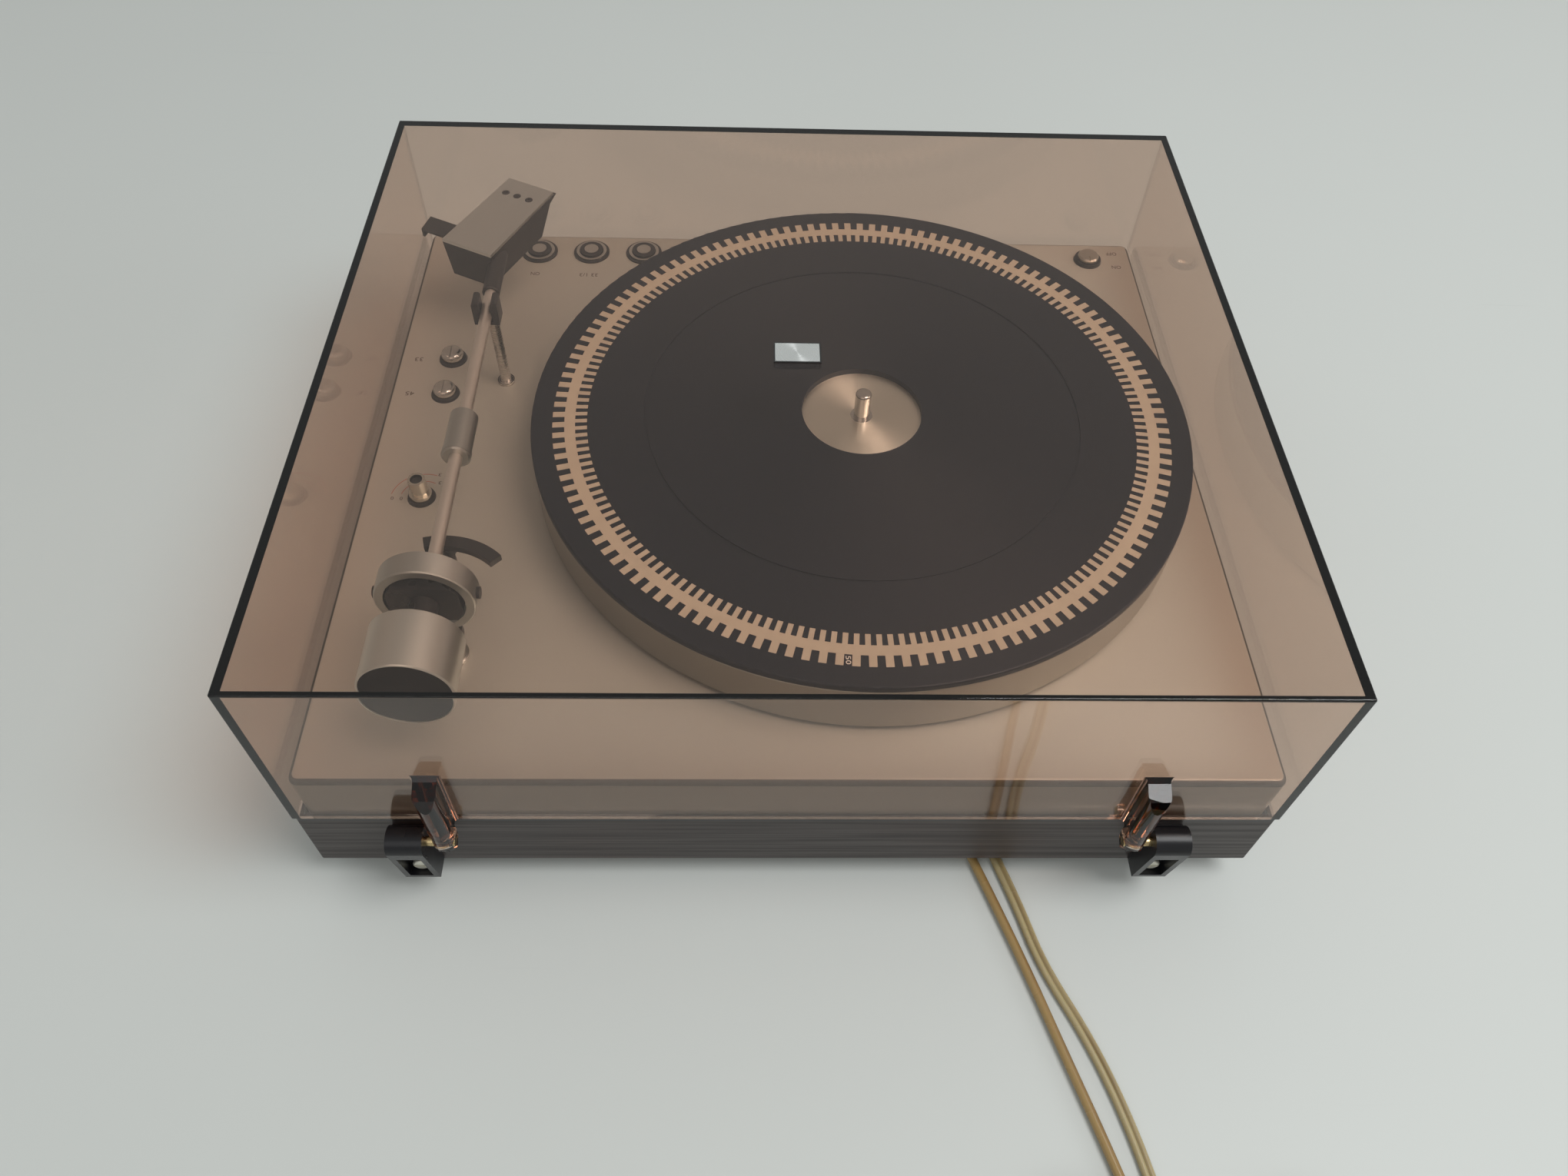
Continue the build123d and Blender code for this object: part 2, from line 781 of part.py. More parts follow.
def circuit_board():
    """The speed control's board on four posts, with its larger components."""
    low = board_top + board_rise
    high = low + board_thickness
    board = block((board_left, board_front, low), (board_right, board_rear, high))
    for x in (board_left + board_post_inset, board_right - board_post_inset):
        for y in (board_front + board_post_inset, board_rear - board_post_inset):
            board += rod(board_post_radius, board_top, low, x, y)
    middle_x = (board_left + board_right) / 2
    middle_y = (board_front + board_rear) / 2
    half = board_chip_width / 2
    board += block(
        (middle_x - half, middle_y - half / 2, high),
        (middle_x + half, middle_y + half / 2, high + board_chip_height),
    )
    for side in (-1, 1):
        can_x = middle_x + side * (half + 2 * board_can_radius)
        board += rod(board_can_radius, high, high + board_can_height, can_x, middle_y)
    return board


def switch_bank():
    """The sealed switches under the deck, with a bore for each button's stem."""
    xs = [x for x, _ in button_places]
    ys = [y for _, y in button_places]
    low = deck_under - switch_bank_height
    bank = block(
        (min(xs) - switch_bank_margin, min(ys) - switch_bank_depth / 2, low),
        (max(xs) + switch_bank_margin, max(ys) + switch_bank_depth / 2, deck_under),
    )
    well_floor = button_bottom() - button_travel - seat_gap
    stem_floor = well_floor - button_stem_length
    for x, y in button_places:
        bank -= rod(button_radius + seat_gap, well_floor, deck_under + overrun, x, y)
        bank -= rod(button_stem_radius + running_fit, stem_floor, well_floor + overrun, x, y)
    return bank


def button_bottom():
    """The height of a button's lower face at rest."""
    return deck_top + button_rise - button_height


def button(x, y):
    """One push button: a body with a cap set in its top and a stem below."""
    top = deck_top + button_rise
    body = rod(button_radius, button_bottom(), top)
    body += rod(button_cap_radius, top, top + button_cap_rise)
    body += rod(button_stem_radius, button_bottom() - button_stem_length, button_bottom())
    return Pos(x, y, 0) * body


def button_ring(x, y):
    """The washer and the raised collar round one button."""
    ring = rod(button_ring_radius, deck_top, deck_top + button_ring_height)
    ring += rod(button_collar_radius, deck_top, deck_top + button_collar_rise)
    ring -= rod(button_radius + seat_gap, deck_top - overrun, deck_top + overrun)
    return Pos(x, y, 0) * ring


def knob_ring(x, y, radius, height):
    """A knob's base ring with the bush that goes down through the deck."""
    ring = cone(radius, radius - knob_ring_lip, deck_top, deck_top + height)
    ring += rod(knob_bush_radius, deck_top - knob_bush_length, deck_top)
    ring -= rod(knob_shaft_radius + running_fit, deck_top - knob_bush_length - overrun, deck_top + overrun)
    return Pos(x, y, 0) * ring


def knob_rings():
    """The four knobs' base rings: power, both pitch trims and the bias knob."""
    rings = [knob_ring(power_x, power_y, power_ring_radius, power_ring_height)]
    rings += [knob_ring(x, y, pitch_ring_radius, pitch_ring_height) for x, y in pitch_places]
    rings.append(knob_ring(bias_x, bias_y, bias_ring_radius, bias_ring_height))
    return rings


def knob_shaft(ring_height):
    """The shaft under a knob, from its underside down into the bush."""
    return rod(knob_shaft_radius, deck_top - knob_shaft_length, deck_top + ring_height + seat_gap)


def power_knob():
    """The flat turned power knob, with a pointer line cut in its top."""
    low = deck_top + power_ring_height + seat_gap
    high = deck_top + power_knob_rise
    knob = rod(power_knob_radius, low, high)
    knob = chamfer(top_edges(knob), power_knob_edge)
    knob += knob_shaft(power_ring_height)
    slot = block(
        (-power_knob_edge / 2, power_knob_radius * power_slot_start_share, high - power_knob_edge / 2),
        (power_knob_edge / 2, power_knob_radius + overrun, high + overrun),
    )
    return Pos(power_x, power_y, 0) * (knob - slot)


def pitch_knob(x, y):
    """One domed pitch trim knob with a screwdriver slot."""
    low = deck_top + pitch_ring_height + seat_gap
    high = deck_top + pitch_knob_rise
    knob = rod(pitch_knob_radius, low, high)
    knob = fillet(top_edges(knob), pitch_knob_dome)
    knob += knob_shaft(pitch_ring_height)
    half_slot = pitch_knob_dome * pitch_slot_share
    slot = block(
        (-half_slot, -pitch_knob_radius - overrun, high - half_slot),
        (half_slot, pitch_knob_radius + overrun, high + overrun),
    )
    return Pos(x, y, 0) * (knob - slot)


def bias_knob():
    """The tall faceted knob that sets the arm's side force, hollow at its top."""
    low = deck_top + bias_ring_height + seat_gap
    high = deck_top + bias_knob_rise
    column = extrude(RegularPolygon(bias_knob_radius, bias_knob_sides), high - low)
    knob = Pos(0, 0, low) * column
    knob += rod(bias_knob_skirt_radius, low, low + bias_knob_skirt_height)
    knob -= rod(bias_knob_hollow_radius, high - bias_knob_hollow_depth, high + overrun)
    knob += knob_shaft(bias_ring_height)
    return Pos(bias_x, bias_y, 0) * knob


def arm_pillar():
    """The arm's pillar, from the chassis plate up through the deck, bored for the shaft."""
    pillar = rod(pillar_radius, chassis_top, pillar_top)
    head = rod(pillar_head_radius, pillar_top - pillar_head_height, pillar_top)
    head = chamfer(top_edges(head), pillar_edge)
    flange = rod(pillar_flange_radius, deck_top, deck_top + pillar_flange_height)
    flange = chamfer(top_edges(flange), pillar_edge)
    bore = rod(yaw_shaft_radius + running_fit, yaw_shaft_bottom - seat_gap, pillar_top + overrun)
    return Pos(arm_x, arm_y, 0) * (pillar + head + flange - bore)


def yaw_shaft():
    """The upright shaft that the arm turns on."""
    return rod(yaw_shaft_radius, yaw_shaft_bottom, yaw_shaft_top, arm_x, arm_y)


def gimbal_ring():
    """The upright ring round the arm's pivot, with a boss that takes the shaft."""
    near = arm_y - gimbal_depth / 2
    far = arm_y + gimbal_depth / 2
    ring = rod_y(gimbal_radius, near, far, arm_x, arm_z)
    ring = chamfer(ring.edges().filter_by(GeomType.CIRCLE), gimbal_edge)
    ring += rod(gimbal_boss_radius, gimbal_boss_bottom, arm_z - gimbal_opening_radius, arm_x, arm_y)
    ring -= rod_y(gimbal_opening_radius, near - overrun, far + overrun, arm_x, arm_z)
    ring -= rod(yaw_shaft_radius, gimbal_boss_bottom - overrun, yaw_shaft_top, arm_x, arm_y)
    hole = rod_x(
        pivot_screw_radius + running_fit,
        arm_x - gimbal_radius - overrun,
        arm_x + gimbal_radius + overrun,
        arm_y,
        arm_z,
    )
    return ring - hole


def pivot_screws():
    """The two screws that the pivot block tilts between."""
    inner = pivot_block_half_width + pivot_gap
    outer = gimbal_radius + pivot_head_height
    screws = []
    for side in (-1, 1):
        ends = sorted((arm_x + side * inner, arm_x + side * gimbal_radius))
        head_ends = sorted((arm_x + side * gimbal_radius, arm_x + side * outer))
        shank = rod_x(pivot_screw_radius, *ends, arm_y, arm_z)
        head = rod_x(pivot_head_radius, *head_ends, arm_y, arm_z)
        screws.append(shank + head)
    return screws


def bearing_block():
    """The dark block inside the ring that carries the arm tube."""
    near = arm_y - pivot_block_depth / 2
    far = arm_y + pivot_block_depth / 2
    round_block = rod_y(pivot_block_radius, near, far, arm_x, arm_z)
    limits = block(
        (arm_x - pivot_block_half_width, near, arm_z - pivot_block_half_height),
        (arm_x + pivot_block_half_width, far, arm_z + pivot_block_half_height),
    )
    return round_block & limits


def arm_tube():
    """The straight arm tube, from the pivot block to the headshell's neck."""
    rear = arm_y - pivot_block_depth / 2
    tube = rod_y(arm_tube_radius, arm_tube_front_y, rear, arm_x, arm_z)
    return tube - rod_y(arm_tube_bore, arm_tube_front_y - overrun, rear + overrun, arm_x, arm_z)


def counterweight_stub():
    """The dark stub behind the pivot that the counterweight slides on."""
    return rod_y(stub_radius, arm_y + pivot_block_depth / 2, stub_end_y, arm_x, arm_z)


def counterweight():
    """The heavy turned weight, bored for the stub and recessed behind."""
    weight = rod_y(weight_radius, weight_front_y, weight_rear_y, arm_x, arm_z)
    weight = chamfer(weight.edges().filter_by(GeomType.CIRCLE), weight_edge)
    bore_end = weight_front_y + weight_bore_depth
    weight -= rod_y(stub_radius + running_fit, weight_front_y - overrun, bore_end, arm_x, arm_z)
    recess = weight_rear_y - weight_cap_recess - weight_cap_thickness
    return weight - rod_y(weight_cap_radius, recess, weight_rear_y + overrun, arm_x, arm_z)


def counterweight_cap():
    """The black disc that sits below the weight's rear rim."""
    far = weight_rear_y - weight_cap_recess
    near = far - weight_cap_thickness
    return rod_y(weight_cap_radius - running_fit, near, far, arm_x, arm_z)


def collar_weight():
    """The small sliding weight on the tube, with a raised ring at its rear end."""
    collar = rod_y(collar_radius, collar_front_y, collar_rear_y, arm_x, arm_z)
    collar = chamfer(collar.edges().filter_by(GeomType.CIRCLE), collar_edge)
    ring_front = collar_rear_y - collar_ring_length
    ring_rear = collar_rear_y - collar_edge
    collar += rod_y(collar_radius + collar_ring_step, ring_front, ring_rear, arm_x, arm_z)
    bore_radius = arm_tube_radius + running_fit
    return collar - rod_y(
        bore_radius, collar_front_y - overrun, collar_rear_y + overrun, arm_x, arm_z
    )


def on_headshell(shape):
    """Places a shape drawn about the headshell's middle, forward along -Y."""
    return Pos(headshell_x, headshell_y, 0) * Rot(0, 0, headshell_angle) * shape


def tapered_face(half_length, rear_half_width, front_half_width, front_rim=0):
    """A four-sided outline that narrows towards its front."""
    front = -half_length - front_rim
    return make_face(
        Polyline(
            (-rear_half_width, half_length),
            (rear_half_width, half_length),
            (front_half_width, front),
            (-front_half_width, front),
            close=True,
        )
    )


def headshell_body():
    """The black headshell: raked nose, drawn-in sides, a pocket below and the tube's neck."""
    profile = Plane.YZ * make_face(
        Polyline(
            (headshell_half_length, body_bottom),
            (headshell_half_length, plate_bottom),
            (-headshell_half_length - body_front_rim, plate_bottom),
            (-body_shoulder_forward, plate_bottom - body_shoulder_drop),
            (-body_floor_forward, body_bottom),
            close=True,
        )
    )
    widest = headshell_rear_half_width + body_side_rim
    body = extrude(profile, widest, both=True)
    top = Pos(0, 0, plate_bottom) * tapered_face(
        headshell_half_length + overrun,
        headshell_rear_half_width,
        headshell_front_half_width + body_side_rim,
    )
    floor = Pos(0, 0, body_bottom) * tapered_face(
        headshell_half_length + overrun,
        headshell_foot_half_width,
        headshell_foot_half_width,
    )
    body &= loft([floor, top])
    pocket = block(
        (-cartridge_pocket_half_width, -cartridge_pocket_front, body_bottom - overrun),
        (cartridge_pocket_half_width, cartridge_pocket_rear, body_bottom + cartridge_pocket_depth),
    )
    shell = on_headshell(body - pocket)
    neck = rod_y(neck_radius, neck_front_y, neck_rear_y, arm_x, arm_z)
    neck = chamfer(neck.edges().filter_by(GeomType.CIRCLE), neck_edge)
    return shell + neck - rod_y(arm_tube_radius, arm_tube_front_y, neck_rear_y + overrun, arm_x, arm_z)


def headshell_plate():
    """The plate on the headshell, with three sunk places for its screws."""
    outline = tapered_face(
        headshell_half_length, headshell_rear_half_width, headshell_front_half_width
    )
    plate = Pos(0, 0, plate_bottom) * extrude(outline, plate_thickness)
    for side in plate_screw_sides:
        sunk = headshell_top - plate_screw_depth
        plate -= rod(plate_screw_radius, sunk, headshell_top + overrun, side, -plate_screw_forward)
    return on_headshell(plate)


def cartridge_body():
    """The cartridge in the headshell's pocket."""
    body = block(
        (-cartridge_pocket_half_width + seat_gap, -cartridge_pocket_front + seat_gap, cartridge_bottom),
        (
            cartridge_pocket_half_width - seat_gap,
            cartridge_pocket_rear - seat_gap,
            body_bottom + cartridge_pocket_depth,
        ),
    )
    return on_headshell(body)


def stylus():
    """The stylus: a thin cantilever under the cartridge, its tip at the height of a record's face."""
    rear = -stylus_forward + stylus_arm_length
    axis_z = cartridge_bottom - stylus_arm_radius
    arm = rod_y(stylus_arm_radius, -stylus_forward, rear, 0, axis_z)
    tip_y = -stylus_forward + 2 * stylus_tip_radius
    tip = cone(stylus_tip_radius * stylus_point_share, stylus_tip_radius, record_top, axis_z, 0, tip_y)
    return on_headshell(arm + tip)


def plate_side(y):
    """How far the plate's side stands from its middle line at some place along it."""
    share = (y + headshell_half_length) / (2 * headshell_half_length)
    return headshell_front_half_width + share * (headshell_rear_half_width - headshell_front_half_width)


def finger_lift():
    """The flat tab beside the headshell, with its outer edge turned down."""
    low = headshell_top - lift_tab_thickness
    front, rear = lift_tab_front_y, lift_tab_rear_y
    corner = (plate_side(front) + lift_tab_front_reach, front)
    tip = (plate_side(rear) + lift_tab_rear_reach, rear)
    outline = [(plate_side(front), front), (plate_side(rear), rear), tip, corner]
    tab = Pos(0, 0, low) * extrude(make_face(Polyline(*outline, close=True)), lift_tab_thickness)
    hook_outline = [
        (corner[0] - lift_tab_thickness, corner[1]),
        corner,
        tip,
        (tip[0] - lift_tab_thickness, tip[1]),
    ]
    hook = extrude(make_face(Polyline(*hook_outline, close=True)), lift_tab_hook)
    return on_headshell(tab + Pos(0, 0, low - lift_tab_hook) * hook)


def rest_post():
    """The arm rest's post, with a flange on the deck and a threaded tail below."""
    post = rod(rest_post_radius, deck_top, rest_post_top)
    post += rod(rest_flange_radius, deck_top, deck_top + rest_flange_height)
    post += rod(rest_tail_radius, deck_top - rest_tail_length, deck_top)
    return Pos(rest_x, rest_y, 0) * post


def rest_clip():
    """The sprung fork on the post: a base and two prongs that hug the tube."""
    inner = arm_tube_radius + running_fit
    outer = inner + clip_prong_width
    near = rest_y - clip_forward - clip_depth / 2
    far = near + clip_depth
    base_top = rest_post_top + clip_base_thickness
    clip = block((arm_x - outer, near, rest_post_top), (arm_x + outer, far, base_top))
    tip = arm_z + arm_tube_radius + clip_rise_past_tube
    for side in (-1, 1):
        ends = sorted((arm_x + side * inner, arm_x + side * outer))
        prong = block((ends[0], near, rest_post_top), (ends[1], far, tip))
        prong = fillet(prong.faces().sort_by(Axis.Z)[-1].edges().filter_by(Axis.Y), clip_tip_radius)
        clip += prong
    return clip


def cue_shaft_place():
    """Where the cueing shaft stands."""
    middle = (cue_arc_outer + cue_arc_inner) / 2
    turn = math.radians(cue_shaft_angle)
    return arm_x - middle * math.sin(turn), arm_y - middle * math.cos(turn)


def cue_bush_wall():
    """The bush's wall above the deck, outside its narrower neck."""
    return (cue_bush_radius - cue_shaft_radius) * cue_bush_wall_share


def lift_arc():
    """The curved bar under the arm tube, on its shaft."""
    ring = rod(cue_arc_outer, cue_arc_bottom, cue_arc_top)
    ring -= rod(cue_arc_inner, cue_arc_bottom - overrun, cue_arc_top + overrun)
    reach = 2 * cue_arc_outer
    angles = [cue_arc_right_angle, -cue_arc_left_angle]
    right, left = [(reach * math.sin(math.radians(a)), -reach * math.cos(math.radians(a))) for a in angles]
    wedge = extrude(make_face(Polyline((0, 0), left, right, close=True)), cue_arc_top + overrun)
    bar = Pos(arm_x, arm_y, 0) * (ring & wedge)
    x, y = cue_shaft_place()
    bar += rod(cue_hub_radius, cue_arc_bottom - cue_hub_depth, cue_arc_bottom, x, y)
    return bar + rod(cue_shaft_radius, deck_top - cue_shaft_tail, cue_arc_bottom, x, y)


def lift_bush():
    """The bush that guides the cueing shaft through the deck."""
    x, y = cue_shaft_place()
    bush = rod(cue_bush_radius, deck_top, deck_top + cue_bush_rise, x, y)
    bush += rod(cue_bush_radius - cue_bush_wall(), deck_top - cue_bush_tail, deck_top, x, y)
    low = deck_top - cue_bush_tail - overrun
    return bush - rod(cue_shaft_radius + running_fit, low, deck_top + cue_bush_rise + overrun, x, y)


def lid_lug(side):
    """One hinge lug of the dust cover: winged at the wall, rounded about the pin."""
    half = lug_width / 2
    wing = lug_wing_width / 2
    root = lid_rear_y - lid_wall / 2
    fillet_y = lid_rear_y + lug_wing_depth
    nose_y = pin_y + lug_radius
    bend_x = half + (wing - half) * lug_bend_share
    bend_y = lid_rear_y + lug_wing_depth * lug_bend_share
    plan = make_face(
        [
            Line((-wing, root), (wing, root)),
            Line((wing, root), (wing, lid_rear_y)),
            ThreePointArc(
                (wing, lid_rear_y),
                (bend_x, bend_y),
                (half, fillet_y),
            ),
            Line((half, fillet_y), (half, nose_y - half)),
            ThreePointArc((half, nose_y - half), (0, nose_y), (-half, nose_y - half)),
            Line((-half, nose_y - half), (-half, fillet_y)),
            ThreePointArc(
                (-half, fillet_y),
                (-bend_x, bend_y),
                (-wing, lid_rear_y),
            ),
            Line((-wing, lid_rear_y), (-wing, root)),
        ]
    )
    top = lid_bottom + lug_height
    column = Pos(side * lug_x, 0, pin_z - 2 * lug_radius) * extrude(plan, lug_height + 4 * lug_radius)
    profile = make_face(
        [
            Line((root, lid_bottom), (root, top)),
            Line((root, top), (lid_rear_y, top)),
            Line(
                (lid_rear_y, top),
                (lid_rear_y + lug_shoulder_reaches[0], top - lug_shoulder_drops[0]),
            ),
            Line(
                (lid_rear_y + lug_shoulder_reaches[0], top - lug_shoulder_drops[0]),
                (lid_rear_y + lug_shoulder_reaches[1], top - lug_shoulder_drops[1]),
            ),
            Line(
                (lid_rear_y + lug_shoulder_reaches[1], top - lug_shoulder_drops[1]),
                (nose_y, top - lug_shoulder_drops[2]),
            ),
            Line((nose_y, top - lug_shoulder_drops[2]), (nose_y, pin_z)),
            ThreePointArc((nose_y, pin_z), (pin_y, pin_z - lug_radius), (pin_y - lug_radius, pin_z)),
            Line((pin_y - lug_radius, pin_z), (pin_y - lug_radius, lid_bottom)),
            Line((pin_y - lug_radius, lid_bottom), (root, lid_bottom)),
        ]
    )
    wall = extrude(Plane.YZ * profile, lug_wing_width, both=True)
    lug = column & Pos(side * lug_x, 0, 0) * wall
    bore_ends = (side * lug_x - lug_wing_width, side * lug_x + lug_wing_width)
    return lug - rod_x(pin_radius + running_fit, *bore_ends, pin_y, pin_z)


def lid_cover():
    """The clear dust cover with its two hinge lugs, moulded as one."""
    outer = Pos(0, 0, lid_bottom) * Box(lid_width, lid_depth, lid_height, align=RISING)
    outer = fillet(upright_edges(outer) + top_edges(outer), lid_edge_radius)
    inner_width = lid_width - 2 * lid_wall
    inner_depth = lid_depth - 2 * lid_wall
    inner_height = lid_height - lid_wall + overrun
    inner = Pos(0, 0, lid_bottom - overrun) * Box(inner_width, inner_depth, inner_height, align=RISING)
    cover = outer + lid_lug(-1) + lid_lug(1)
    return cover - inner


def lid_badge():
    """The small bare plate on top of the dust cover."""
    return Pos(badge_x, badge_y, lid_top) * Box(badge_width, badge_depth, badge_thickness, align=RISING)


def hinge_block(side):
    """One hinge block on the plinth: knuckle above, closed recess behind for its screws."""
    face_y = half_depth
    low = foot_height + hinge_block_foot_rise
    knuckle_near = pin_y - hinge_block_radius
    knuckle_far = pin_y + hinge_block_radius
    profile = make_face(
        [
            Line((face_y, low), (face_y, pin_z)),
            Line((face_y, pin_z), (knuckle_near, pin_z)),
            ThreePointArc((knuckle_near, pin_z), (pin_y, pin_z + hinge_block_radius), (knuckle_far, pin_z)),
            Line((knuckle_far, pin_z), (hinge_block_foot_y, low)),
            Line((hinge_block_foot_y, low), (face_y, low)),
        ]
    )
    solid = extrude(Plane.YZ * profile, hinge_block_width / 2, both=True)
    half_recess = hinge_block_width / 2 - hinge_flange
    recess = block(
        (-half_recess, face_y + hinge_back, low + hinge_foot_rim),
        (half_recess, hinge_reach + overrun, low + hinge_recess_rise),
    )
    bore = rod_x(pin_radius, -hinge_block_width, hinge_block_width, pin_y, pin_z)
    placed = Pos(side * hinge_x, 0, 0) * (solid - recess - bore)
    for rise in hinge_screw_rises:
        shank = rod_y(
            hinge_screw_shank_radius,
            face_y - overrun,
            face_y + hinge_back + overrun,
            side * hinge_x,
            low + rise,
        )
        placed -= shank
    return placed


def hinge_pin(side):
    """One brass pin, from the lug's far face through the block."""
    inner = side * (lug_x - lug_width / 2)
    outer = side * (hinge_x + hinge_block_width / 2)
    return rod_x(pin_radius, *sorted((inner, outer)), pin_y, pin_z)


def hinge_screws():
    """The slotted screws that hold both blocks to the plinth."""
    face_y = half_depth
    low = foot_height + hinge_block_foot_rise
    seat_y = face_y + hinge_back
    head_y = seat_y + hinge_screw_head
    half_slot = hinge_screw_slot / 2
    screws = []
    for side in (-1, 1):
        for rise in hinge_screw_rises:
            x = side * hinge_x
            z = low + rise
            screw = rod_y(hinge_screw_radius, seat_y, head_y, x, z)
            screw = fillet(screw.faces().sort_by(Axis.Y)[-1].edges(), hinge_screw_head / 2)
            screw -= block(
                (x - hinge_screw_radius - overrun, head_y - hinge_screw_slot_depth, z - half_slot),
                (x + hinge_screw_radius + overrun, head_y + overrun, z + half_slot),
            )
            screw += rod_y(hinge_screw_shank_radius, seat_y - hinge_screw_shank, seat_y, x, z)
            screws.append(screw)
    return screws


def plinth_screw_holes():
    """The holes in the plinth's rear wall for the hinge screws."""
    low = foot_height + hinge_block_foot_rise
    face_y = half_depth
    deep = face_y - (hinge_screw_shank - hinge_back) - seat_gap
    holes = []
    for side in (-1, 1):
        for rise in hinge_screw_rises:
            holes.append(rod_y(hinge_screw_shank_radius, deep, face_y + overrun, side * hinge_x, low + rise))
    return holes


def heading_of(start, end):
    """The level direction from one route point to the next, in degrees."""
    return math.degrees(math.atan2(end[1] - start[1], end[0] - start[0]))


def cord_gland(route):
    """The anchor block under the base board and the tapered sleeve that a lead leaves."""
    sleeve_z = route[0][2]
    anchor = block(
        (-gland_width / 2, -sleeve_length - gland_length, sleeve_z - sleeve_root_radius),
        (gland_width / 2, -sleeve_length, foot_height),
    )
    sleeve = Pos(0, -sleeve_length, sleeve_z) * Rot(-90, 0, 0) * Cone(
        sleeve_root_radius, sleeve_tip_radius, sleeve_length, align=RISING
    )
    turn = heading_of(route[0], route[1]) - 90
    return Pos(route[0][0], route[0][1], 0) * Rot(0, 0, turn) * (anchor + sleeve)


def bend_radii(route):
    """The radius of the bend at each inner point of a route."""
    radii = []
    for before, corner, after in zip(route, route[1:], route[2:]):
        arriving = Vector(corner) - Vector(before)
        leaving = Vector(after) - Vector(corner)
        half_turn = math.radians(arriving.get_angle(leaving)) / 2
        radii.append(bend_share * min(arriving.length, leaving.length) / math.tan(half_turn))
    return radii


def section_at(place, direction, width, height):
    """A lead's section, square to its line, lying flat."""
    level = Vector(0, 0, 1).cross(direction)
    plane = Plane(origin=place, x_dir=level, z_dir=direction)
    if width == height:
        return plane * Circle(width / 2)
    return plane * SlotOverall(width, height)


def section_area(width, height):
    """The area of a round or flat twin section."""
    return math.pi * (height / 2) ** 2 + (width - height) * height


def free_lead(name, route, width, height):
    """The stretch of a lead from its gland to its coil, as straight runs joined by arcs."""
    radii = bend_radii(route)
    line = FilletPolyline(*route, radius=radii)
    direction = Vector(route[1]) - Vector(route[0])
    solid = sweep(section_at(route[0], direction, width, height), path=line)
    length = sum(edge.length for edge in line.edges())
    print(name, "bend radii", [round(radius) for radius in radii])
    print(name, "length", round(length), "volume", round(solid.volume))
    print(name, "section times length", round(section_area(width, height) * length))
    return solid


def eased(share):
    """How far a climb is done, from 0 to 1, level at both ends."""
    share = min(max(share, 0), 1)
    return share * share * (3 - 2 * share)


def eased_slope(share):
    """How steep that climb is."""
    share = min(max(share, 0), 1)
    return 6 * share * (1 - share)


def biarc(start, start_way, end, end_way):
    """Two arcs that leave start and reach end along the given ways."""
    across = end - start
    ways = start_way + end_way
    squared = 2 * (start_way.dot(end_way) - 1)
    single = -2 * across.dot(ways)
    reach = (-single - math.sqrt(single**2 - 4 * squared * across.dot(across))) / (2 * squared)
    before = start + start_way * reach
    after = end - end_way * reach
    joint = (before + after) * 0.5
    joint_way = (after - before).normalized()
    return [
        TangentArc(start, joint, tangent=start_way),
        TangentArc(joint, end, tangent=joint_way),
    ]


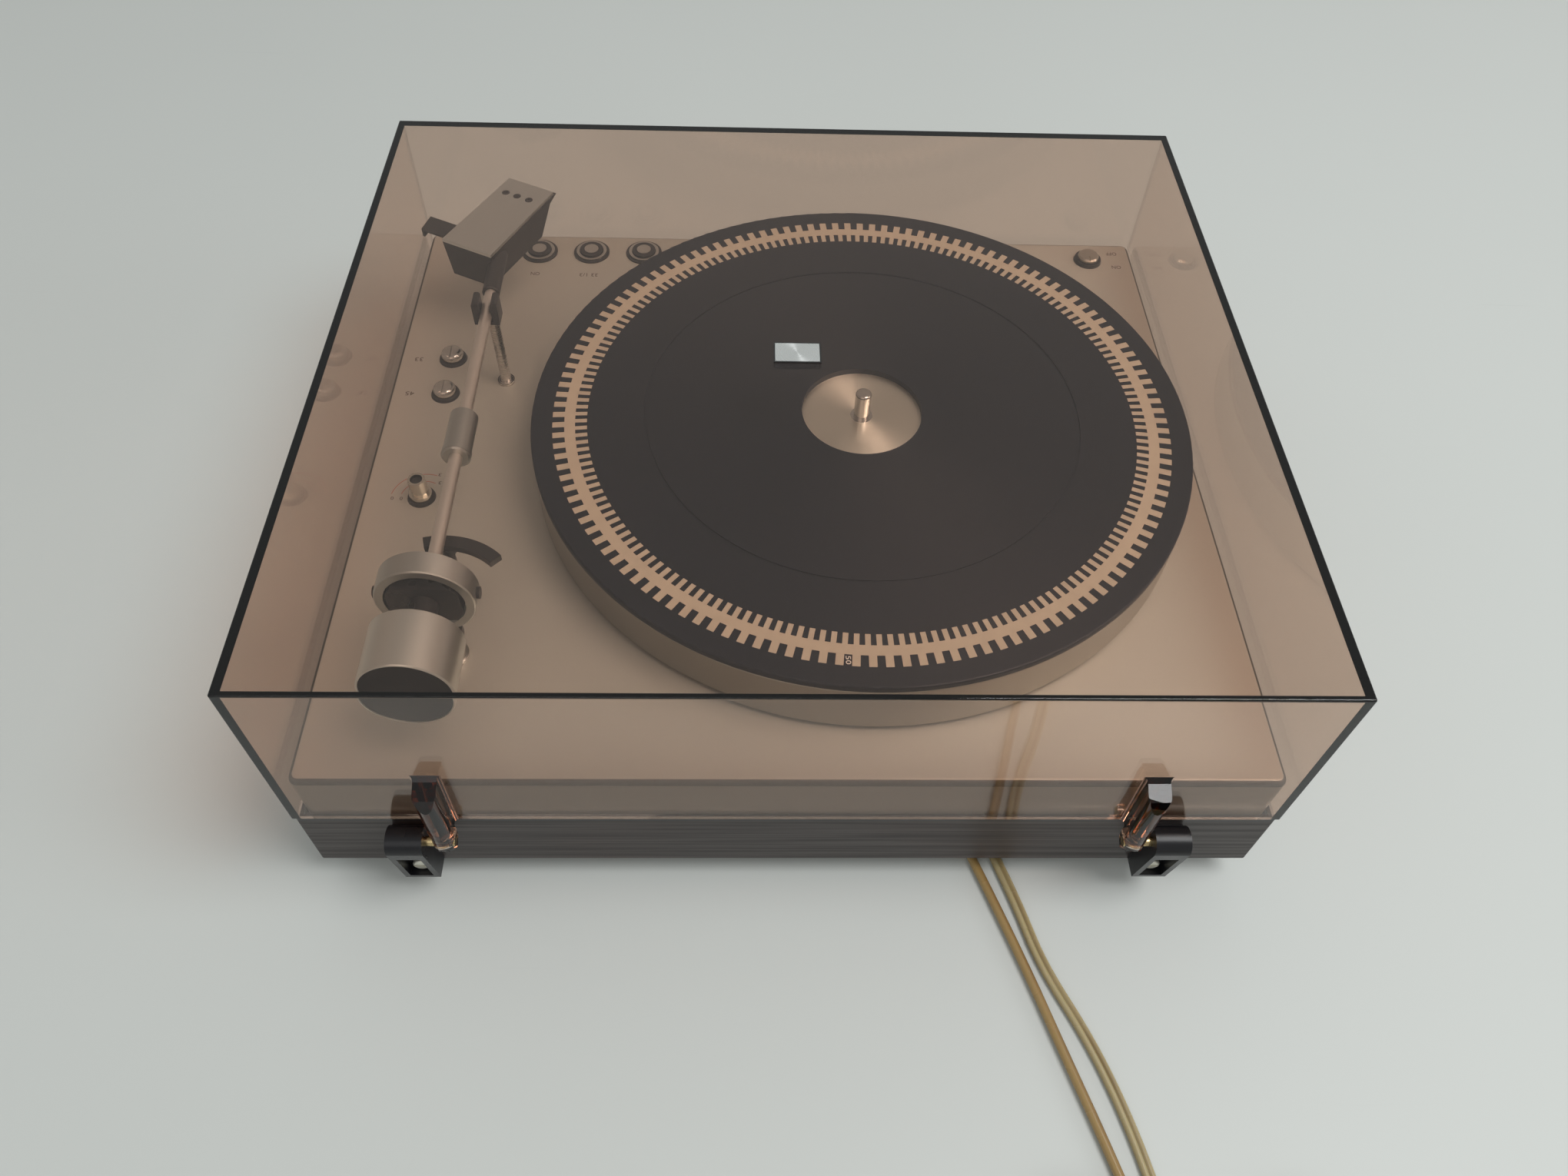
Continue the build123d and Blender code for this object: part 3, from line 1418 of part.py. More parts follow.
class Coil:
    """A lead wound in two layers: in along the floor, up where it reverses, and out on top."""

    def __init__(
        self, route, width, height, outer_radius, turn_sense, whole_turns, end_heading, end_z, flare
    ):
        self.width = width
        self.height = height
        self.outer_radius = outer_radius
        self.sense = turn_sense
        self.pitch = width + wire_gap
        self.layer = height + wire_gap
        self.low_z = route[-1][2]
        self.flare = flare
        self.end_rise = end_z - self.low_z - self.layer
        self.start = Vector(route[-1])
        self.heading = heading_of(route[-2], route[-1])
        way = math.radians(self.heading)
        self.way = Vector(math.cos(way), math.sin(way), 0)
        self.inward = self.pitch / (2 * math.pi)
        lean = math.degrees(math.atan(self.inward / outer_radius))
        self.start_angle = self.heading - turn_sense * (90 + lean)
        end_angle = end_heading - turn_sense * (90 - lean)
        part_turn = (turn_sense * (end_angle - self.start_angle)) % 360
        self.total = math.radians(part_turn + 360 * whole_turns)
        first = self.start + self.way * width
        angle = math.radians(self.start_angle)
        self.centre = first - Vector(math.cos(angle), math.sin(angle), 0) * outer_radius

    def place(self, turned):
        """The point and the way of the wire after some turn, in radians."""
        half = self.total / 2
        inwards = turned <= half
        radius = self.outer_radius - self.inward * (turned if inwards else self.total - turned)
        slope = -self.inward if inwards else self.inward
        slope = 0 if math.isclose(turned, half) else slope
        climb_share = (turned - half) / math.pi + 1 / 2
        end_share = (turned - self.total) / (math.pi / 2) + 1
        flare_share = (turned - self.total) / math.pi + 1
        radius += self.flare * eased(flare_share)
        slope += self.flare * eased_slope(flare_share) / math.pi
        z = self.layer * eased(climb_share) + self.end_rise * eased(end_share)
        z_slope = self.layer * eased_slope(climb_share) / math.pi
        z_slope += self.end_rise * eased_slope(end_share) / (math.pi / 2)
        angle = math.radians(self.start_angle) + self.sense * turned
        outwards = Vector(math.cos(angle), math.sin(angle), 0)
        along = Vector(-math.sin(angle), math.cos(angle), 0) * self.sense
        point = self.centre + outwards * radius + Vector(0, 0, z)
        way = outwards * slope + along * radius + Vector(0, 0, z_slope)
        return point, way.normalized()

    def line(self):
        """The wire's middle line: straight ends of one width, and biarcs of about a quarter turn."""
        steps = 2 * round(self.total / math.pi)
        edges = [Line(self.start, self.start + self.way * self.width)]
        point, way = self.place(0)
        for step in range(1, steps + 1):
            next_point, next_way = self.place(self.total * step / steps)
            edges += biarc(point, way, next_point, next_way)
            point, way = next_point, next_way
        self.end = point + way * self.width
        self.end_way = way
        edges.append(Line(point, self.end))
        return Wire([edge for curve in edges for edge in curve.edges()])

    def least_gap(self, wire):
        """The least space between two turns, measured on points along the wire."""
        count = round(wire.length / gap_step)
        points = [wire.position_at(index / count) for index in range(count + 1)]
        spots = [(point.X, point.Y, point.Z) for point in points]
        apart = round(math.pi * (self.outer_radius - self.inward * self.total / 2) / gap_step)
        flat = self.width - self.height
        least = self.outer_radius
        for index, first in enumerate(spots):
            for second in spots[index + apart :]:
                level = max(math.dist(first[:2], second[:2]) - flat, 0)
                least = min(least, math.hypot(level, first[2] - second[2]) - self.height)
        return least

    def solid(self, name):
        """The wound lead as one unbroken tube."""
        wire = self.line()
        section = section_at(self.start, self.way, self.width, self.height)
        solid = sweep(section, path=wire)
        print(name, "turns", round(self.total / (2 * math.pi), 2), "length", round(wire.length))
        print(name, "volume", round(solid.volume))
        print(name, "section times length", round(section_area(self.width, self.height) * wire.length))
        print(name, "least gap to itself", round(self.least_gap(wire), 2))
        return solid


def at_end(coil, shape):
    """Places a plug drawn along +Y from zero at the end of a coil's wire."""
    turn = math.degrees(math.atan2(coil.end_way.Y, coil.end_way.X)) - 90
    return Pos(coil.end) * Rot(0, 0, turn) * shape


def signal_plug(coil):
    """The round signal plug: boot, ribbed grip, metal shell and its pins."""
    grip_front = signal_plug_boot_length + signal_plug_grip_length
    shell_end = grip_front + signal_plug_shell_length
    plug = Rot(-90, 0, 0) * Cone(
        signal_plug_boot_tip,
        signal_plug_radius * signal_plug_boot_share,
        signal_plug_boot_length,
        align=RISING,
    )
    grip_radius = signal_plug_radius - signal_plug_rib_step
    plug += rod_y(grip_radius, signal_plug_boot_length, grip_front, 0, 0)
    rib_pitch = signal_plug_grip_length / (2 * signal_plug_ribs)
    for rib in range(signal_plug_ribs):
        near = signal_plug_boot_length + (2 * rib + 1 / 2) * rib_pitch
        plug += rod_y(signal_plug_radius, near, near + rib_pitch, 0, 0)
    shell = rod_y(grip_radius, grip_front, shell_end, 0, 0)
    shell -= rod_y(grip_radius - signal_plug_shell_wall, grip_front, shell_end + overrun, 0, 0)
    plug += shell
    for pin in range(signal_plug_pins):
        turn = math.radians(signal_plug_pin_angle * pin)
        x = signal_plug_pin_ring * math.cos(turn)
        z = signal_plug_pin_ring * math.sin(turn)
        plug += rod_y(signal_plug_pin_radius, grip_front, shell_end - signal_plug_shell_wall, x, z)
    return at_end(coil, plug)


def mains_plug(coil):
    """The flat two-blade mains plug with its boot."""
    near = mains_plug_boot_length
    far = near + mains_plug_length
    body = block(
        (-mains_plug_width / 2, near, -mains_plug_thickness / 2),
        (mains_plug_width / 2, far, mains_plug_thickness / 2),
    )
    body = fillet(body.edges(), mains_plug_edge)
    boot_width = mains_lead_width + 2 * mains_plug_boot_margin
    boot_height = mains_lead_height + 2 * mains_plug_boot_margin
    boot = extrude(
        Plane(origin=(0, 0, 0), x_dir=(1, 0, 0), z_dir=(0, 1, 0)) * SlotOverall(boot_width, boot_height),
        near + mains_plug_edge,
    )
    plug = body + boot
    for side in (-1, 1):
        middle = side * mains_blade_spacing / 2
        plug += block(
            (middle - mains_blade_thickness / 2, far - mains_plug_edge, -mains_blade_width / 2),
            (middle + mains_blade_thickness / 2, far + mains_blade_length, mains_blade_width / 2),
        )
    return at_end(coil, plug)


def write_body():
    """The plinth, the deck and what is fixed in them."""
    frame = plinth_frame()
    for hole in plinth_screw_holes():
        frame -= hole
    write("plinth_frame", frame)
    write("plinth_trim", plinth_trim())
    write("base_board", base_board())
    write("rubber_feet", *rubber_feet())
    write("deck_pan", deck_pan())
    write("chassis_plate", chassis_plate())
    write("chassis_grommets", *chassis_grommets())
    write("transformer", transformer())
    write("circuit_board", circuit_board())
    write("switch_bank", switch_bank())
    write("button_rings", *[button_ring(x, y) for x, y in button_places])
    write("knob_rings", *knob_rings())


def write_drive():
    """The platter and what turns it."""
    write("bearing_housing", bearing_housing())
    write("spindle", spindle())
    write("sub_platter", sub_platter())
    write("outer_platter", outer_platter())
    write("platter_mat", platter_mat())
    write("drive_belt", drive_belt())
    write("motor_pulley", motor_pulley())
    write("motor_body", motor_body())
    write("motor_bracket", motor_bracket())


def write_controls():
    """The buttons and knobs."""
    for name, (x, y) in zip(button_names, button_places):
        write(name, button(x, y))
    write("power_knob", power_knob())
    for name, (x, y) in zip(pitch_names, pitch_places):
        write(name, pitch_knob(x, y))
    write("anti_skate_knob", bias_knob())


def write_arm():
    """The tonearm, its rest and its cueing arm."""
    write("arm_pillar", arm_pillar())
    write("yaw_shaft", yaw_shaft())
    write("gimbal_ring", gimbal_ring())
    write("pivot_screws", *pivot_screws())
    write("bearing_block", bearing_block())
    write("arm_tube", arm_tube())
    write("counterweight_stub", counterweight_stub())
    write("counterweight", counterweight())
    write("counterweight_cap", counterweight_cap())
    write("collar_weight", collar_weight())
    write("headshell_body", headshell_body())
    write("headshell_plate", headshell_plate())
    write("cartridge_body", cartridge_body())
    write("stylus", stylus())
    write("finger_lift", finger_lift())
    write("rest_post", rest_post())
    write("rest_clip", rest_clip())
    write("lift_arc", lift_arc())
    write("lift_bush", lift_bush())


def write_cover():
    """The dust cover, its badge and its hinges."""
    write("lid_cover", lid_cover())
    write("lid_badge", lid_badge())
    write("hinge_blocks", hinge_block(-1), hinge_block(1))
    write("hinge_pins", hinge_pin(-1), hinge_pin(1))
    write("hinge_screws", *hinge_screws())


def write_cords():
    """The two leads with their glands, coils and plugs."""
    write("cord_glands", cord_gland(signal_route), cord_gland(mains_route), moved=False)
    signal_end_z = signal_route[-1][2] + signal_layer
    signal_coil = Coil(
        signal_route,
        signal_lead_width,
        signal_lead_height,
        signal_coil_radius,
        signal_coil_sense,
        signal_coil_whole_turns,
        signal_coil_end_heading,
        signal_end_z,
        signal_plug_radius + signal_lead_width / 2,
    )
    mains_coil = Coil(
        mains_route,
        mains_lead_width,
        mains_lead_height,
        mains_coil_radius,
        mains_coil_sense,
        mains_coil_whole_turns,
        mains_coil_end_heading,
        mains_plug_axis,
        (mains_plug_width + mains_lead_width) / 2,
    )
    signal_lead = free_lead("signal_cord", signal_route, signal_lead_width, signal_lead_height)
    write("signal_cord", signal_lead, moved=False)
    write("signal_coil", signal_coil.solid("signal_coil"), moved=False)
    write("signal_plug", signal_plug(signal_coil), moved=False)
    mains_lead = free_lead("mains_cord", mains_route, mains_lead_width, mains_lead_height)
    write("mains_cord", mains_lead, moved=False)
    write("mains_coil", mains_coil.solid("mains_coil"), moved=False)
    write("mains_plug", mains_plug(mains_coil), moved=False)


os.makedirs("parts", exist_ok=True)
write_body()
write_drive()
write_controls()
write_arm()
write_cover()
write_cords()
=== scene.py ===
"""Looks for a belt drive turntable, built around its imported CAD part."""

import sys

import logging
import math
from collections.abc import Callable
from dataclasses import dataclass, field
from enum import Enum
from functools import partial

import bmesh
import bpy
from mathutils import Euler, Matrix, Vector


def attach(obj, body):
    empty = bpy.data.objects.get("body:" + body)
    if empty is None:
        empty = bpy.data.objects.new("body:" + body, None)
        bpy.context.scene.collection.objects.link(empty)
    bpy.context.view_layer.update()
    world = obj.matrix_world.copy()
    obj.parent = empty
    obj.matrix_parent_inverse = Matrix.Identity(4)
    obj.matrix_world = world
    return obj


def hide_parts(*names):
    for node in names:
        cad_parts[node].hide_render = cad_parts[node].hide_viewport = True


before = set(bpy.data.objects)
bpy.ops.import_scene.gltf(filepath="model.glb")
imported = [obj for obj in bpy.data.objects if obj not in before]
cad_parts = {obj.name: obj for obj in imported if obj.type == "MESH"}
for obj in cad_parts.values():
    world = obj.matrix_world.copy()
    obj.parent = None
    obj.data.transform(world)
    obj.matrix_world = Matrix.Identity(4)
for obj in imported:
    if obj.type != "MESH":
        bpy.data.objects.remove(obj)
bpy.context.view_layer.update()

log = logging.getLogger("turntable")

Colour = tuple[float, float, float]
Point = tuple[float, float, float]
Piece = bpy.types.Object
Socket = bpy.types.NodeSocket

BLACK = (0.02, 0.02, 0.021)

# The range of a share, and the range that most values of a noise lie in
FULL = (0.0, 1.0)
MOST = (0.3, 0.7)


class Axis(Enum):
    """A direction of the part's own frame."""

    ACROSS = (1.0, 0.0, 0.0)
    DEEP = (0.0, 1.0, 0.0)
    UP = (0.0, 0.0, 1.0)


class Light(Enum):
    """The three soft lamps of the studio."""

    KEY = "key_lamp"
    FILL = "fill_lamp"
    SIDE = "side_lamp"


def spoke(turn: float) -> Vector:
    """A level vector of length 1, at a turn from the X axis in radians."""
    return Vector((math.cos(turn), math.sin(turn), 0))


def placed(name: str, data: bpy.types.ID) -> Piece:
    """A new object for some data, put into the scene."""
    piece = bpy.data.objects.new(name, data)
    bpy.context.collection.objects.link(piece)
    return piece


# Shader wiring


class Wiring:
    """The nodes of one material, and short ways to add more of them."""

    def __init__(self, name: str) -> None:
        """Start a material with a Principled shader and nothing else.

        Args:
            name: The material's name.
        """
        self.material = bpy.data.materials.new(name)
        self.material.use_nodes = True
        self.nodes = self.material.node_tree.nodes
        self.nodes.clear()
        self.output = self.nodes.new("ShaderNodeOutputMaterial")
        self.shader = self.nodes.new("ShaderNodeBsdfPrincipled")
        self.join(self.shader.outputs[0], self.output.inputs["Surface"])
        self.place = self.nodes.new("ShaderNodeTexCoord").outputs["Object"]

    def join(self, source: Socket, target: Socket) -> None:
        """Join one socket to another."""
        self.material.node_tree.links.new(source, target)

    def feed(self, socket: Socket, value: object) -> None:
        """Set a socket to a plain value, or join it to another socket.

        Args:
            socket: The input to fill.
            value: A number, a colour, a vector or an output socket.
        """
        if isinstance(value, Socket):
            self.join(value, socket)
        elif isinstance(value, tuple) and len(value) == 3 and len(socket.default_value) == 4:
            socket.default_value = (*value, 1.0)
        else:
            socket.default_value = value

    def fill(self, node: bpy.types.Node, *values: object, **named: object) -> None:
        """Fill a node's inputs.

        Args:
            node: The node.
            values: What goes into its first inputs, in their order.
            named: What goes into inputs by their names, with _ for a space.
        """
        for socket, value in zip(node.inputs, values):
            self.feed(socket, value)
        for name, value in named.items():
            self.feed(node.inputs[name.replace("_", " ")], value)

    def math(self, operation: str, *values: object) -> Socket:
        """Work on numbers.

        Args:
            operation: Blender's name of the operation.
            values: Numbers or sockets, in the order of the node's inputs.

        Returns:
            The result's socket.
        """
        node = self.nodes.new("ShaderNodeMath")
        node.operation = operation
        self.fill(node, *values)
        return node.outputs[0]

    def vector(self, operation: str, *values: object) -> Socket:
        """Work on vectors.

        Args:
            operation: Blender's name of the operation.
            values: Vectors or sockets, in the order of the node's inputs.

        Returns:
            The result's socket, which is a number for a length or a dot product.
        """
        node = self.nodes.new("ShaderNodeVectorMath")
        node.operation = operation
        self.fill(node, *values)
        is_number = operation in ("LENGTH", "DOT_PRODUCT")
        return node.outputs["Value" if is_number else "Vector"]

    def stretched(self, scale: Point, angles: Point = (0.0, 0.0, 0.0)) -> Socket:
        """Stretch the object's own coordinates and then turn them.

        Args:
            scale: Stretch along the three axes.
            angles: Turns in degrees, which pick another part of a noise and leave its lay.

        Returns:
            The new coordinates.
        """
        node = self.nodes.new("ShaderNodeMapping")
        node.vector_type = "POINT"
        turns = tuple(math.radians(angle) for angle in angles)
        self.fill(node, Vector=self.place, Rotation=turns, Scale=scale)
        return node.outputs[0]

    def noise(self, where: Socket, scale: float, detail: float = 2.0, rough: float = 0.5) -> Socket:
        """Soft random values from 0 to 1.

        Args:
            where: Coordinates, or a number for noise along a line.
            scale: How many features fit in a metre of the coordinates.
            detail: How many finer layers are added.
            rough: How strong the finer layers are.

        Returns:
            The value's socket.
        """
        node = self.nodes.new("ShaderNodeTexNoise")
        on_a_line = where.type == "VALUE"
        node.noise_dimensions = "1D" if on_a_line else "3D"
        self.feed(node.inputs["W" if on_a_line else "Vector"], where)
        self.fill(node, Scale=scale, Detail=detail, Roughness=rough)
        return node.outputs[0]

    def spread(self, value: Socket, old: tuple[float, float], new: tuple[float, float] = FULL) -> Socket:
        """Move a value from one range to another and hold it there.

        Args:
            value: The value.
            old: The range it comes in.
            new: The range it goes out in.

        Returns:
            The new value's socket.
        """
        node = self.nodes.new("ShaderNodeMapRange")
        self.fill(node, value, *old, *new)
        return node.outputs[0]

    def around(self, value: Socket, middle: float, swing: float) -> Socket:
        """A noise made to swing about a middle."""
        return self.spread(value, MOST, (middle - swing, middle + swing))

    def colours(self, share: Socket, first: object, second: object) -> Socket:
        """Blend two colours.

        Args:
            share: How much of the second colour shows.
            first: The colour at 0.
            second: The colour at 1.

        Returns:
            The blended colour.
        """
        node = self.nodes.new("ShaderNodeMix")
        node.data_type = "RGBA"
        colour_inputs = [socket for socket in node.inputs if socket.type == "RGBA"]
        for socket, value in zip((node.inputs[0], *colour_inputs), (share, first, second)):
            self.feed(socket, value)
        return next(socket for socket in node.outputs if socket.type == "RGBA")

    def part(self, where: Socket, number: int) -> Socket:
        """One of a vector's three parts, 0 for X."""
        node = self.nodes.new("ShaderNodeSeparateXYZ")
        self.join(where, node.inputs[0])
        return node.outputs[number]

    def repaint(self, share: Socket, other: object) -> None:
        """Blend another colour with the base colour wired so far, of which a share stays."""
        wired = self.shader.inputs["Base Color"].links[0].from_socket
        self.set(Base_Color=self.colours(share, other, wired))

    def bump(self, height: Socket, depth: float, strength: float = 1.0) -> None:
        """Raise the surface by a height.

        Args:
            height: The height, from 0 to 1.
            depth: How far a height of 1 stands out, in metres.
            strength: How much of the bump shows.
        """
        node = self.nodes.new("ShaderNodeBump")
        self.fill(node, Strength=strength, Distance=depth, Height=height)
        self.join(node.outputs[0], self.shader.inputs["Normal"])

    def lay(self, direction: object, amount: float) -> None:
        """Stretch the highlights along a direction of the object.

        Args:
            direction: The direction in the object's own frame, a vector or a socket.
            amount: How much they are stretched.
        """
        node = self.nodes.new("ShaderNodeVectorTransform")
        node.vector_type = "VECTOR"
        node.convert_from = "OBJECT"
        node.convert_to = "WORLD"
        self.feed(node.inputs[0], direction)
        self.join(node.outputs[0], self.shader.inputs["Tangent"])
        self.feed(self.shader.inputs["Anisotropic"], amount)

    def set(self, **values: object) -> None:
        """Fill the shader's inputs by their names, with _ for a space."""
        self.fill(self.shader, **values)


# Finishes


@dataclass(frozen=True)
class Finish:
    """A finish of one piece or more, made once and then shared."""

    name: str
    colour: Colour

    def wire(self, board: Wiring) -> None:
        """Wire the finish. Each kind of finish has its own way."""
        raise NotImplementedError

    def shade(self, share: float) -> Colour:
        """The finish's colour, made darker or paler by a share."""
        return tuple(channel * share for channel in self.colour)

    def vary(self, board: Wiring, value: Socket, swing: float) -> Socket:
        """The finish's colour, darker where a value is low and paler where it is high."""
        return board.colours(value, self.shade(1 - swing), self.shade(1 + swing))

    def material(self) -> bpy.types.Material:
        """The material, made at its first use."""
        known = bpy.data.materials.get(self.name)
        if known:
            return known
        board = Wiring(self.name)
        self.wire(board)
        return board.material


@dataclass(frozen=True)
class Moulded(Finish):
    """Moulded plastic or rubber: a faint mottle and a fine grain."""

    roughness: float = 0.45
    mottle: float = 60.0
    grain: float = 2500.0
    depth: float = 0.00003
    specular: float = 0.5

    def wire(self, board: Wiring) -> None:
        """Wire the mottle, the roughness and the grain."""
        mottle = board.noise(board.place, self.mottle, 3.0)
        grain = board.noise(board.place, self.grain)
        board.set(
            Base_Color=self.vary(board, mottle, 0.2),
            Roughness=board.around(mottle, self.roughness, 0.06),
            Specular_IOR_Level=self.specular,
        )
        board.bump(grain, self.depth, 0.5)


@dataclass(frozen=True)
class Brushed(Finish):
    """Flat metal brushed one way: long fine streaks that stretch the highlights across them."""

    roughness: float = 0.4
    along: Axis = Axis.ACROSS
    stretch: float = 0.4
    streak: float = 0.06
    metallic: float = 1.0
    depth: float = 0.000004
    lines_along: float = 18.0
    lines_across: float = 2600.0
    cloud_scale: float = 9.0
    cloud_share: float = 0.35

    def wire(self, board: Wiring) -> None:
        """Wire the streaks, a soft cloudiness and the lay of the brushing."""
        stretches = tuple(self.lines_along if part else self.lines_across for part in self.along.value)
        streaks = board.noise(board.stretched(stretches), 1.0, 3.0)
        clouds = board.noise(board.place, self.cloud_scale, 3.0)
        rest = board.math("MULTIPLY", streaks, 1 - self.cloud_share)
        both = board.math("MULTIPLY_ADD", clouds, self.cloud_share, rest)
        board.set(
            Base_Color=self.vary(board, both, self.streak),
            Roughness=board.around(both, self.roughness, 0.05),
            Metallic=self.metallic,
        )
        board.bump(streaks, self.depth, 0.5)
        sideways = Axis.DEEP if self.along is Axis.ACROSS else Axis.ACROSS
        board.lay(sideways.value, self.stretch)


@dataclass(frozen=True)
class PanWithPaintedShade(Brushed):
    """A brushed pan with painted shade: its rolled edge is painted dark, and its flank below is painted
    darker than its top.
    """

    flank_painted_shade: float = 0.62
    roll_painted_shade: float = 0.16
    top: float = 0.0778
    bend: float = 0.0025
    blur: float = 0.0002

    def wire(self, board: Wiring) -> None:
        """Wire the brushed face, and the painted shade on the roll and on the flank below it."""
        super().wire(board)
        height = board.part(board.place, 2)
        low = self.top - self.bend
        above = board.spread(height, (low - self.blur, low + self.blur))
        face = board.spread(height, (self.top - self.blur, self.top - self.blur / 2))
        # Painted shade: below the top face the roll is darkened most, and the flank below it less.
        board.repaint(face, board.colours(above, self.shade(self.flank_painted_shade), self.shade(self.roll_painted_shade)))


@dataclass(frozen=True)
class Turned(Finish):
    """Metal or rubber cut on a lathe: fine rings about its axis."""

    centre: Point = (0.0, 0.0, 0.0)
    axis: Axis = Axis.UP
    roughness: float = 0.3
    pitch: float = 0.0004
    depth: float = 0.000006
    stretch: float = 0.6
    streak: float = 0.08
    metallic: float = 1.0
    specular: float = 0.5

    def arm(self, board: Wiring) -> Socket:
        """The way from the centre to each point."""
        return board.vector("SUBTRACT", board.place, self.centre)

    def outwards(self, board: Wiring) -> Socket:
        """The way from the axis to each point."""
        return board.vector("MULTIPLY", self.arm(board), tuple(1.0 - part for part in self.axis.value))

    def wire(self, board: Wiring) -> None:
        """Wire the rings, which run along flats and walls alike, and the lay that they give."""
        along = board.vector("DOT_PRODUCT", self.arm(board), self.axis.value)
        outwards = self.outwards(board)
        line = board.math("ADD", board.vector("LENGTH", outwards), along)
        rings = board.noise(line, 1 / self.pitch)
        board.set(
            Base_Color=self.vary(board, rings, self.streak),
            Roughness=board.around(rings, self.roughness, 0.04),
            Metallic=self.metallic,
            Specular_IOR_Level=self.specular,
        )
        board.bump(rings, self.depth, 0.6)
        board.lay(board.vector("NORMALIZE", outwards), self.stretch)


@dataclass(frozen=True)
class SpunWithPaintedRimShade(Turned):
    """A turned disc with painted shade: its colour is darkened out towards its rim, over the platter's side.
    """

    rim_painted_shade: float = 0.4
    reach: tuple[float, float] = (0.07, 0.11)

    def wire(self, board: Wiring) -> None:
        """Wire the turned metal, and darken it towards the rim with painted shade."""
        super().wire(board)
        away = board.vector("LENGTH", self.outwards(board))
        # Painted shade: beyond the reach the colour falls to the rim's share of itself.
        board.repaint(board.spread(away, self.reach, (1.0, 0.0)), self.shade(self.rim_painted_shade))


@dataclass(frozen=True)
class Framed(Turned):
    """A turned face with a thin black line round its four sides."""

    half_size: tuple[float, float] = (0.01005, 0.00625)
    line: float = 0.0007
    black: Colour = (0.02, 0.02, 0.02)

    def wire(self, board: Wiring) -> None:
        """Wire the turned face, and the line over it."""
        super().wire(board)
        sides = []
        for number, half in enumerate(self.half_size):
            reach = board.math("ABSOLUTE", board.part(self.arm(board), number))
            sides.append(board.math("LESS_THAN", reach, half - self.line))
        inside = board.math("MULTIPLY", *sides)
        board.repaint(inside, self.black)
        board.set(Metallic=board.math("MULTIPLY", inside, self.metallic))


@dataclass(frozen=True)
class KnobWithShadedSocket(Turned):
    """A turned knob with painted shade: the socket in its top is painted near black."""

    socket: float = 0.0027
    black: Colour = (0.03, 0.03, 0.03)

    def wire(self, board: Wiring) -> None:
        """Wire the turned metal, and the painted shade in the socket within it."""
        super().wire(board)
        metal = board.math("GREATER_THAN", board.vector("LENGTH", self.outwards(board)), self.socket)
        # Painted shade: the recess is painted near black and is not metallic.
        board.repaint(metal, self.black)
        board.set(Metallic=metal)


@dataclass(frozen=True)
class Banded(Turned):
    """An upright turned post that is black above one height."""

    height: float = 0.0915

    def wire(self, board: Wiring) -> None:
        """Wire the post, and the black above it."""
        super().wire(board)
        below = board.math("LESS_THAN", board.part(board.place, 2), self.height)
        board.repaint(below, BLACK)
        board.set(Metallic=below)


@dataclass(frozen=True)
class Veneer(Finish):
    """Dark open-grained veneer, its grain level on every side."""

    pale: Colour = (0.066, 0.053, 0.049)
    patch: Colour = (0.064, 0.035, 0.027)
    roughness: float = 0.38
    lines_along: float = 9.0
    lines_across: float = 60.0
    lines_up: float = 520.0
    figure: Point = (2.5, 2.5, 70.0)
    patch_scale: float = 14.0
    depth: float = 0.00004

    def wire(self, board: Wiring) -> None:
        """Wire long grain, which runs along X on the long sides and along Y on the short ones."""
        normal = board.nodes.new("ShaderNodeTexCoord").outputs["Normal"]
        sideways = board.math("ABSOLUTE", board.vector("DOT_PRODUCT", normal, Axis.ACROSS.value))
        grain = board.nodes.new("ShaderNodeMix")
        board.feed(grain.inputs[0], board.math("GREATER_THAN", sideways, 0.5))
        ways = ((self.lines_along, self.lines_across), (self.lines_across, self.lines_along))
        for number, way in enumerate(ways, start=2):
            fine = board.noise(board.stretched((*way, self.lines_up)), 1.0, 5.0, 0.6)
            board.feed(grain.inputs[number], fine)
        figure = board.noise(board.stretched(self.figure), 1.0, 3.0)
        lines = board.spread(grain.outputs[0], (0.38, 0.62))
        tone = board.math("MULTIPLY_ADD", figure, 0.5, board.math("MULTIPLY", lines, 0.5))
        warm = board.spread(board.noise(board.place, self.patch_scale), (0.5, 0.75), (0.0, 0.6))
        board.set(
            Base_Color=board.colours(tone, self.colour, board.colours(warm, self.pale, self.patch)),
            Roughness=board.spread(lines, FULL, (self.roughness + 0.12, self.roughness)),
            Specular_IOR_Level=0.45,
        )
        board.bump(lines, self.depth, 0.5)


@dataclass(frozen=True)
class Split(Finish):
    """A turned piece of two tones, which change at one height."""

    height: float
    upper: Colour = (0.6, 0.58, 0.54)
    centre: Point = (0.0, 0.0, 0.0)
    roughness: tuple[float, float] = (0.4, 0.28)
    rings: float = 3000.0
    depth: float = 0.000005

    def wire(self, board: Wiring) -> None:
        """Wire both tones, the step between them and fine rings."""
        above = board.math("GREATER_THAN", board.part(board.place, 2), self.height)
        arm = board.vector("SUBTRACT", board.place, self.centre)
        flat = board.vector("LENGTH", board.vector("MULTIPLY", arm, (1.0, 1.0, 0.0)))
        rings = board.noise(flat, self.rings)
        tone = board.colours(above, self.colour, self.upper)
        board.set(
            Base_Color=board.colours(board.math("MULTIPLY", rings, 0.2), tone, self.shade(0.5)),
            Metallic=above,
            Roughness=board.spread(above, FULL, self.roughness),
        )
        board.bump(rings, self.depth, 0.5)


